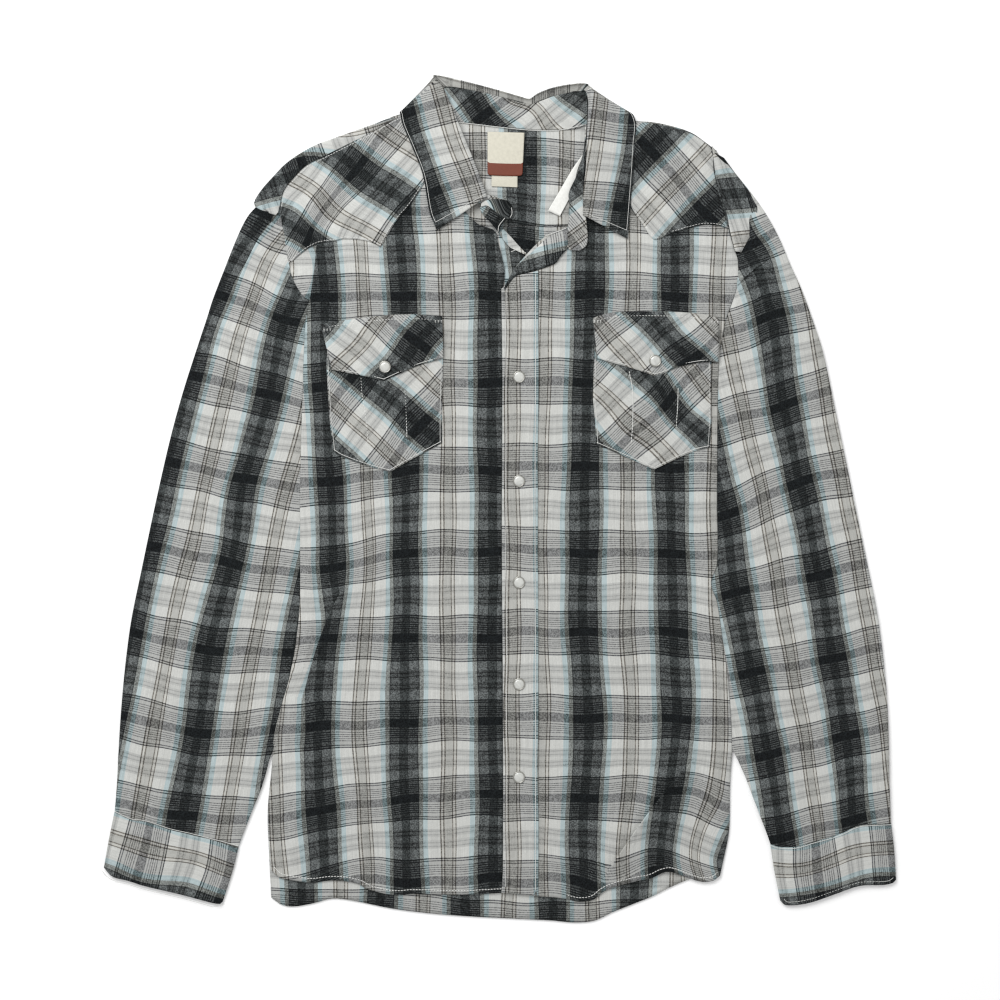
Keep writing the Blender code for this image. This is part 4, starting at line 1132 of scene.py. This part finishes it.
STAND = (  # top edge and neck edge (across, up and height)
    (3, 299, 5.0, 0, 298.5, 4.8), (-8, 303, 5.2, -12, 299, 4.6), (-19, 306, 5.4, -22, 296, 4.2),
    (-23, 318, 5.8, -30, 303, 4.2), (-36, 344, 6.3, -44, 338, 4.2),
    (-47, 370, 6.6, -54, 362, 4.2), (-56, 392, 6.0, -60, 376, 3.8), (-58, 408, 5.4, -56, 380, 3.0),
    (-50, 411, 5.4, -43, 377.5, 2.3), (-20, 407, 5.4, -20, 374.5, 2.2), (4, 401, 5.4, 4, 372, 2.2),
    (30, 395, 5.4, 34, 369.5, 2.2), (52, 402, 5.4, 56, 369.5, 2.2), (70, 407, 5.6, 76, 370.5, 2.4),
    (85, 405, 7.4, 88, 376, 3.0), (86, 385, 8.6, 88, 368, 3.8), (85, 360, 8.8, 85, 352, 4.2),
    (84, 331, 8.6, 78, 326, 4.6), (83, 306, 8.4, 69, 306, 5.0), (85, 288, 8.0, 69.5, 295, 5.6),
    (86.5, 274, 7.4, 69, 280, 6.2), (87.5, 262, 7.0, 67, 266, 6.4), (86, 253, 6.8, 66, 255, 6.4),
    (79, 248, 6.6, 70, 248.5, 6.4),
)
stand_rows = curve(STAND)
stand_weave = laid_by(38, (
    (-16, 384, 0, 0), (-12, 405, 0.239, 0.17), (15, 375, 0.239, -0.3), (10, 402, 0.5, 0),
    (50, 371, 0.5, -0.59), (28, 386, 0.4, -0.27), (52, 401, 0.761, -0.34), (83, 377, 0.761, -0.76),
))
end_weave = laid_by(-52, ((78, 297, 0.212, 0.362), (71, 256, 0.527, 0.0)))


def lie_stand(u, v):
    """u runs from the neck edge to the top edge, v from the right end round the neck to the left end."""
    row = stand_rows(v)
    x, y, z = (row[:, 3:] + (row[:, :3] - row[:, 3:]) * u[:, None]).T
    bias, end = np.array(stand_weave(x, y)), np.array(end_weave(x, y))
    return x, y, z + 0.6 * np.sin(pi * u), *(bias + (end - bias) * ease(v, 0.70, 0.78))


stand = cloth("collar_stand_cloth", lie_stand, 20, 260, wall=1.0)
keep(stand, "collar_stand")

# The stand's right end: its outer layer, the inner layer's stub below it, and the snap strip's turned tip
small_sheet("collar_stand_tab", (
    ((-19, 292), (-13, 293), (-3, 286), (8, 279)), ((-15, 298), (-5, 299.5), (7, 298), (12, 293)),
    ((-19, 292), (-18.5, 295.5), (-15, 298)), ((8, 279), (11.5, 284.5), (12.7, 289), (12, 293)),
), laid_by(-130, ((-13, 293, 0.293, 0.3), (5, 290, 0.05, 0.15))),
    lambda u, v: 6.5 + 0.5 * np.sin(pi * u) * np.sin(pi * v))
small_sheet("collar_stand_stub", (
    ((-20, 290), (-17, 284), (-10, 277), (-1.5, 266)),
    ((-18.5, 293.5), (-13, 292.5), (-3, 285.5), (7, 279.5)),
    ((-20, 290), (-19.5, 292), (-18.5, 293.5)), ((-1.5, 266), (0.5, 272), (7, 279.5)),
), laid_by(-32, ((-4, 271, 0, 0),)),
    lambda u, v: 5.5 + 0.3 * np.sin(pi * u))
small_sheet("snap_strip_tip", (
    ((-1, 265), (9.5, 252), (16, 248.5), (26, 244)), ((3.5, 269.5), (10, 263), (18, 254), (26.5, 245)),
    ((-1, 265), (1, 267.5), (3.5, 269.5)), ((26, 244), (26.5, 245)),
), laid_by(8, ((7, 260, 0.266, 0.5),)),
    lambda u, v: 4.9 + 0.5 * v * np.sin(pi * u))

# ---------------------------------------------------------------------------------------------------------
# Labels: a satin main label with a rust band at its foot, a small size tab below it, and a printed tape
# label folded out of the left neck seam. All are bare.


def woven_satin():
    """Woven polyester satin: smooth and slightly shiny across fine ribs, in cream and rust."""
    material, tree, shader = blank("woven polyester satin")
    cut = add(tree, "UVMap", uv_map="cut").outputs["UV"]
    up = add(tree, "SeparateXYZ", {0: cut}).outputs["Y"]
    # Ribs are 0.2 mm in the label, and 0.9 mm here so that they show
    rib = add(tree, "TexWave", {"Vector": cut, "Scale": 350.0, "Distortion": 0.4}, bands_direction="Y")
    band = add(tree, "Math", {0: up, 1: 0.0005}, operation="LESS_THAN").outputs[0]
    colour = add(tree, "Mix", {0: band, 6: linear("cfcbbb"), 7: linear("6e2c10")},
                 data_type="RGBA").outputs[2]
    worn = add(tree, "TexNoise", {"Vector": cut, "Scale": 300.0, "Detail": 3.0})
    shade = add(tree, "MapRange", {"Value": worn.outputs["Fac"], 1: 0.3, 2: 0.7, 3: 0.82, 4: 0.93}).outputs[0]
    colour = add(tree, "VectorMath", {0: colour, "Scale": shade}, operation="SCALE").outputs[0]
    bump = add(tree, "Bump", {"Height": rib.outputs["Fac"], "Strength": 0.25, "Distance": 0.0002})
    wire(shader, {"Base Color": colour, "Normal": bump.outputs[0], "Roughness": 0.55})
    return material


def printed_tape():
    """Non-woven nylon label tape: white, limp and smooth, with a faint grain."""
    material, tree, shader = blank("nylon label tape")
    cut = add(tree, "UVMap", uv_map="cut").outputs["UV"]
    grain = add(tree, "TexNoise", {"Vector": cut, "Scale": 420.0, "Detail": 2.0})
    shade = add(tree, "MapRange", {"Value": grain.outputs["Fac"], 1: 0.3, 2: 0.7, 3: 0.0, 4: 1.0}).outputs[0]
    colour = add(tree, "Mix", {0: shade, 6: linear("d8d8d3"), 7: linear("e4e4e0")},
                 data_type="RGBA").outputs[2]
    bump = add(tree, "Bump", {"Height": grain.outputs["Fac"], "Strength": 0.2, "Distance": 0.0002})
    wire(shader, {"Base Color": colour, "Normal": bump.outputs[0], "Roughness": 0.62})
    return material


LABELS = {  # foot, top, left and right edges
    "label_main": (
        ((-12.5, 326), (-10.5, 324), (21, 323.5), (22.5, 325.5)), ((-12.5, 367.5), (24.5, 366.5)),
        ((-12.5, 326), (-12.5, 367.5)), ((22.5, 325.5), (24.5, 366.5)),
    ),
    "label_size": (
        ((-8.5, 312.9), (17.5, 311.9)), ((-8.5, 324), (17.5, 323)), ((-8.5, 312.9), (-8.5, 324)),
        ((17.5, 311.9), (17.5, 323)),
    ),
    "label_care": (
        ((48, 288.5), (60, 283)), ((84.5, 347), (88, 352)),
        ((48, 288.5), (61.5, 311.5), (73, 331), (84.5, 347)), ((60, 283), (73, 309), (78, 331), (88, 352)),
    ),
}
RIBS = 42  # length of satin from a label's foot to its top
satin, tape = woven_satin(), printed_tape()


def lie_label(name, level, rust):
    """rust is how far the satin's rust band reaches up from the label's foot."""
    place = patch(*LABELS[name])

    def at(u, v):
        x, y = place(u, v)
        z = level + 0.35 * np.sin(pi * u + 0.5) * np.sin(pi * v) + 0.5 * (1 - v) * (1 - u)
        return x, y, z, x, v * RIBS - rust

    return at


for name, level, rust, finish, slot, size in (
    ("label_main", 2.6, 11.34, satin, "label_satin", (0.037, 0.043)),
    ("label_size", 2.1, -10, satin, "label_satin", (0.026, 0.011)),
    ("label_care", 2.4, -10, tape, "label_tape", (0.011, 0.068)),
):
    label = cloth(f"{name}_tape", lie_label(name, level, rust), 24, 30, wall=0.35, finish=finish)
    keep(label, name)

# ---------------------------------------------------------------------------------------------------------
# Stitching: pale polyester topstitching, about three stitches to the centimetre here, along every turned
# edge. Each row is one thread that goes down through the cloth between its stitches.


def stitching_thread():
    """Spun polyester thread: off-white, dull, with a slight twist."""
    material, tree, shader = blank("spun polyester thread")
    cut = add(tree, "UVMap", uv_map="cut").outputs["UV"]
    twist = add(tree, "TexWave", {"Vector": cut, "Scale": 400.0}, bands_direction="DIAGONAL")
    colour = add(tree, "Mix", {0: twist.outputs["Fac"], 6: linear("c9cac6"), 7: linear("e2e2df")},
                 data_type="RGBA").outputs[2]
    bump = add(tree, "Bump", {"Height": twist.outputs["Fac"], "Strength": 0.4, "Distance": 0.0001})
    wire(shader, {"Base Color": colour, "Normal": bump.outputs[0], "Roughness": 0.7})
    return material


thread = stitching_thread()
STITCH = 3.0  # from one stitch to the next
RINGS = 6  # of the thread's mesh for each stitch
TWIST = 2.6  # round the thread


def sew(name, rows):
    """Sews rows of stitches, each a line (across, up), the height of its cloth there, and half the width of
    its thread. A row without a cloth has its heights in its line."""
    bm = bmesh.new()
    cut = bm.loops.layers.uv.new("cut")
    for points, surface, half in rows:
        line = curve(points)
        spots = line(np.linspace(0, 1, 400))[:, :2]
        length = np.linalg.norm(np.diff(spots, axis=0), axis=1).sum()
        rings = int(length / STITCH * RINGS)
        made = bmesh.ops.create_grid(bm, x_segments=4, y_segments=rings, size=0.5)["verts"]
        round_it, share = (np.array([vert.co[:2] for vert in made]) + 0.5).T
        spot = line(share)
        along = (line(np.clip(share + 0.002, 0, 1)) - line(np.clip(share - 0.002, 0, 1)))[:, :2]
        along /= np.linalg.norm(along, axis=1)[:, None]
        angle = round_it * 2 * pi
        arch = half * (1.6 * np.abs(np.sin(pi * share * length / STITCH)) - 0.75)
        x = spot[:, 0] - along[:, 1] * half * np.cos(angle)
        y = spot[:, 1] + along[:, 0] * half * np.cos(angle)
        z = surface(spot[:, 0], spot[:, 1]) if surface else spot[:, 2]
        z = z + arch + half * 0.8 * np.sin(angle)
        places = (np.stack((x, y, z), -1) * MM).tolist()
        for vert, place, run, turn in zip(made, places, share * length, round_it * TWIST):
            vert.co = place
            for loop in vert.link_loops:
                loop[cut].uv = run * MM, turn * MM
    bmesh.ops.remove_doubles(bm, verts=bm.verts, dist=0.01 * MM)
    bmesh.ops.recalc_face_normals(bm, faces=bm.faces)
    piece = finished(name, bm, thread)
    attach(piece, "root")


def on_front(x, y):
    hem = np.interp(x, [p[0] for p in FRONT_HEM], [p[1] for p in FRONT_HEM])
    z = fall(body_roll(x, y, body_height(x, y)), HEM_LEVEL, y - hem, -6, 34)
    return z + lapped(x) * (x > FRONT_EDGE) + 0.35


def on_yoke(x, y):
    return yoke_height(x, y) + 0.1


def on_flap(x, y):
    return body_roll(x, y, body_height(x, y)) + 2.5


def on_pocket(x, y):
    return body_roll(x, y, body_height(x, y)) + 1.35


def on_placket(x, y):
    return placket_height(x, y) + 0.3


def on_cuff(x, y):
    return 0 * x + 3.3


def on_cuff_seam(x, y):
    return 0 * x + 4.2


def inset(points, away):
    """The line at a distance to the left of a run of points."""
    line = curve(points)
    share = np.linspace(0, 1, max(4, len(points) * 2))
    step = line(np.clip(share + 0.01, 0, 1)) - line(np.clip(share - 0.01, 0, 1))
    step /= np.linalg.norm(step, axis=1)[:, None]
    return line(share) + np.stack((-step[:, 1], step[:, 0]), -1) * away


def halves(foot):
    """The two runs of a pointed foot, whose point is given twice."""
    point = next(n for n in range(1, len(foot)) if foot[n] == foot[n - 1])
    return foot[:point], foot[point:]


BAR_TACKS = {"right": ((-173, 169.5), (-62, 178)), "left": ((97, 178), (214, 177))}  # at the flaps' corners
flap_rows = []
pocket_rows = []
for side in ("right", "left"):
    foot, top, _, _ = FLAPS[side]
    flap_rows += [(inset(half, 1.8), on_flap, 0.3) for half in halves(foot)]
    flap_rows.append((inset(top, -4.5), on_flap, 0.3))
    for across, up in BAR_TACKS[side]:
        bars = [((across - 4, up - down), (across + 4, up - down + 0.3)) for down in (0, 0.9, 1.8)]
        flap_rows += [(bar, on_flap, 0.4) for bar in bars]
    foot, first, last = POCKETS[side]
    pocket_rows += [(inset(half, 1.8), on_pocket, 0.3) for half in halves(foot)]
    pocket_rows += [(inset(first, -1.8), on_pocket, 0.24), (inset(last, 1.8), on_pocket, 0.24)]
pocket_rows += [(line, on_pocket, 0.4) for line in (  # each pocket's pen slots
    ((-139, 122), (-138, 106), (-134, 80), (-132, 57)), ((-95, 109), (-94, 90), (-93, 62)),
    ((129, 128), (132.6, 107), (132.6, 75), (131, 55.5)), ((178, 111), (177.5, 92), (176, 72)),
)]
sew("hem_stitching", [
    (inset(right_hem, 4.2), on_front, 0.4), (inset([p for p in left_hem if p[0] >= 38], 4.2), on_front, 0.4),
])
sew("placket_stitching", [
    (((5.8, -388), (6.5, -200), (5.8, 0), (6, 120), (6, 214)), on_placket, 0.34),
    (((35.5, -391), (35.5, -200), (35, 0), (35.5, 120), (35.5, 225)), on_placket, 0.34),
])
sew("yoke_stitching", [
    (inset(YOKE_FOOT_RIGHT[:7], 1.6), on_yoke, 0.26), (inset(YOKE_FOOT_RIGHT[7:], 1.6), on_yoke, 0.26),
    (inset(YOKE_FOOT_LEFT[:7], 1.6), on_yoke, 0.26), (inset(YOKE_FOOT_LEFT[8:], 1.6), on_yoke, 0.26),
    (inset(RIGHT_SHOULDER_SEAM[2:], -1.6), on_yoke, 0.3),
])
around = np.linspace(0.012, 0.988, 160)
end = np.linspace(0.2, 0.955, 14)
sew("leaf_stitching", [
    (np.stack(lie_leaf(u, v)[:3], -1) + (0, 0, 0.5), None, 0.24)
    for u, v in ((0 * around + 0.955, around), (end, 0 * end + 0.012), (end, 0 * end + 0.988))
])
sew("neck_stitching", [
    (((-43, 377, 3), (-25, 375, 3), (0, 372, 3), (30, 369, 3), (59, 369, 3), (88, 375, 3.8)), None, 0.34),
    (((11, 247, 5.3), (17, 249, 5.3), (26, 246, 5.3)), None, 0.3),
    (((10, 281, 6.9), (12, 285, 6.9), (11.5, 291, 6.9)), None, 0.3),
    (((5, 281, 6), (-1, 273, 6), (-2, 267, 6)), None, 0.3),
    (((45, 263, 7), (57, 267, 6.6), (66, 270.5, 6)), None, 0.3),
])
sew("flap_stitching", flap_rows)
sew("pocket_stitching", pocket_rows)
sew("cuff_stitching", [
    (inset(CUFF_FOOT["right"], -3.4), on_cuff, 0.22), (inset(CUFF_FOOT["left"], 3.4), on_cuff, 0.22),
    (inset(CUFF_SEAM["right"], 1.2), on_cuff_seam, 0.3), (inset(CUFF_SEAM["left"], -1.2), on_cuff_seam, 0.3),
])

# ---------------------------------------------------------------------------------------------------------
# Snaps: pearl-capped prong snaps, each a domed plastic pearl held in a turned nickel-plated brass rim.


def pearl_plastic():
    """Moulded acrylic pearl: milky, with soft drifting layers under a clear gloss."""
    material, tree, shader = blank("moulded acrylic pearl")
    place = add(tree, "TexCoord").outputs["Object"]
    drift = add(tree, "TexNoise", {"Vector": place, "Scale": 160.0, "Detail": 3.0, "Distortion": 1.5})
    colour = add(tree, "Mix", {0: drift.outputs["Fac"], 6: linear("a4a5a1"), 7: linear("d6d7d2")},
                 data_type="RGBA").outputs[2]
    wire(shader, {"Base Color": colour, "Roughness": 0.28, "IOR": 1.49, "Coat Weight": 0.5,
                  "Coat Roughness": 0.08})
    return material


def nickel_plate():
    """Nickel-plated brass, turned: grey, bright, with faint rubbed marks."""
    material, tree, shader = blank("nickel-plated brass")
    place = add(tree, "TexCoord").outputs["Object"]
    rubbed = add(tree, "TexNoise", {"Vector": place, "Scale": 900.0, "Detail": 2.0})
    rough = add(tree, "MapRange", {"Value": rubbed.outputs["Fac"], 1: 0.3, 2: 0.7, 3: 0.22, 4: 0.4})
    wire(shader, {"Base Color": linear("a9a8a2"), "Metallic": 1.0, "Roughness": rough.outputs[0]})
    return material


PEARL = ((0.0, 2.35), (1.6, 2.3), (3.2, 2.1), (4.5, 1.75), (5.05, 1.3))  # radius and height
RIM = ((4.9, 1.2), (4.95, 1.75), (5.3, 2.0), (5.7, 1.95), (6.05, 1.5), (6.1, 0.6), (5.9, 0.0), (4.4, -0.1))
pearl, nickel = pearl_plastic(), nickel_plate()


def turned(name, profile, x, y, z, finish, slot):
    """Turns a profile round an upright axis at a place, in millimetres."""
    bm = bmesh.new()
    verts = [bm.verts.new((radius * MM, 0, height * MM)) for radius, height in profile]
    edges = [bm.edges.new(pair) for pair in zip(verts, verts[1:])]
    bmesh.ops.spin(bm, geom=verts + edges, cent=(0, 0, 0), axis=(0, 0, 1), angle=2 * pi, steps=40,
                   use_merge=True)
    bmesh.ops.remove_doubles(bm, verts=bm.verts, dist=WELD * MM)
    bmesh.ops.recalc_face_normals(bm, faces=bm.faces)
    bmesh.ops.translate(bm, verts=bm.verts, vec=Vector((x, y, z)) * MM)
    piece = finished(name, bm, finish)
    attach(piece, "root")
    return piece


snaps = [(f"snap_front_{n + 1}", CENTRE_FRONT, up, on_placket) for n, up in enumerate(FRONT_SNAPS)]
snaps += [(f"snap_flap_{side}", *spot, on_flap) for side, spot in FLAP_SNAPS.items()]
for name, across, up, surface in snaps:
    base = float(surface(np.array([across]), np.array([up]))[0]) - 0.2
    cap = turned(name + "_pearl", PEARL, across, up, base, pearl, "snap_pearl")
    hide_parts(name)
    turned(name + "_rim", RIM, across, up, base, nickel, "snap_metal")

# ---------------------------------------------------------------------------------------------------------
# Table, light and camera: a plain near-white table, soft light from all round with a broad panel above the
# neck, and a camera straight above.


def laminate():
    """Matt melamine laminate: white, with a dry face that gives no reflections."""
    material, _, shader = blank("matt white laminate")
    wire(shader, {"Base Color": linear("ffffff"), "Roughness": 0.9, "Specular IOR Level": 0.1})
    return material


TABLE_TOP = -0.4  # just under the cloth
bm = bmesh.new()
bmesh.ops.create_grid(bm, x_segments=4, y_segments=4, size=3.0)
bmesh.ops.translate(bm, verts=bm.verts, vec=(0, 0, TABLE_TOP * MM))
finished("table", bm, laminate())

scene = bpy.context.scene
scene.world = bpy.data.worlds.new("soft room")
scene.world.use_nodes = True
wire(scene.world.node_tree.nodes["Background"], {"Color": (1.0, 1.0, 1.0, 1.0), "Strength": 0.72})
panel = bpy.data.lights.new("panel", "AREA")
panel.energy = 37.0
panel.shape = "DISK"
panel.size = 1.4
lamp = bpy.data.objects.new("panel", panel)
lamp.location = (-0.8, 1.3, 1.6)
lamp.rotation_euler = (-lamp.location).to_track_quat("-Z", "Y").to_euler()
scene.collection.objects.link(lamp)

VIEW_HEIGHT = 2.2
VIEW_WIDTH = 1.0  # at the cloth
CLOTH_TOP = 0.004
lens = bpy.data.cameras.new("overhead")
lens.sensor_width = 36.0
lens.lens = lens.sensor_width * (VIEW_HEIGHT - CLOTH_TOP) / VIEW_WIDTH
camera = bpy.data.objects.new("overhead", lens)
camera.location = (0.0, -0.001, VIEW_HEIGHT)
scene.collection.objects.link(camera)
scene.camera = camera
scene.view_settings.view_transform = "Standard"
scene.cycles.filter_width = 1.3
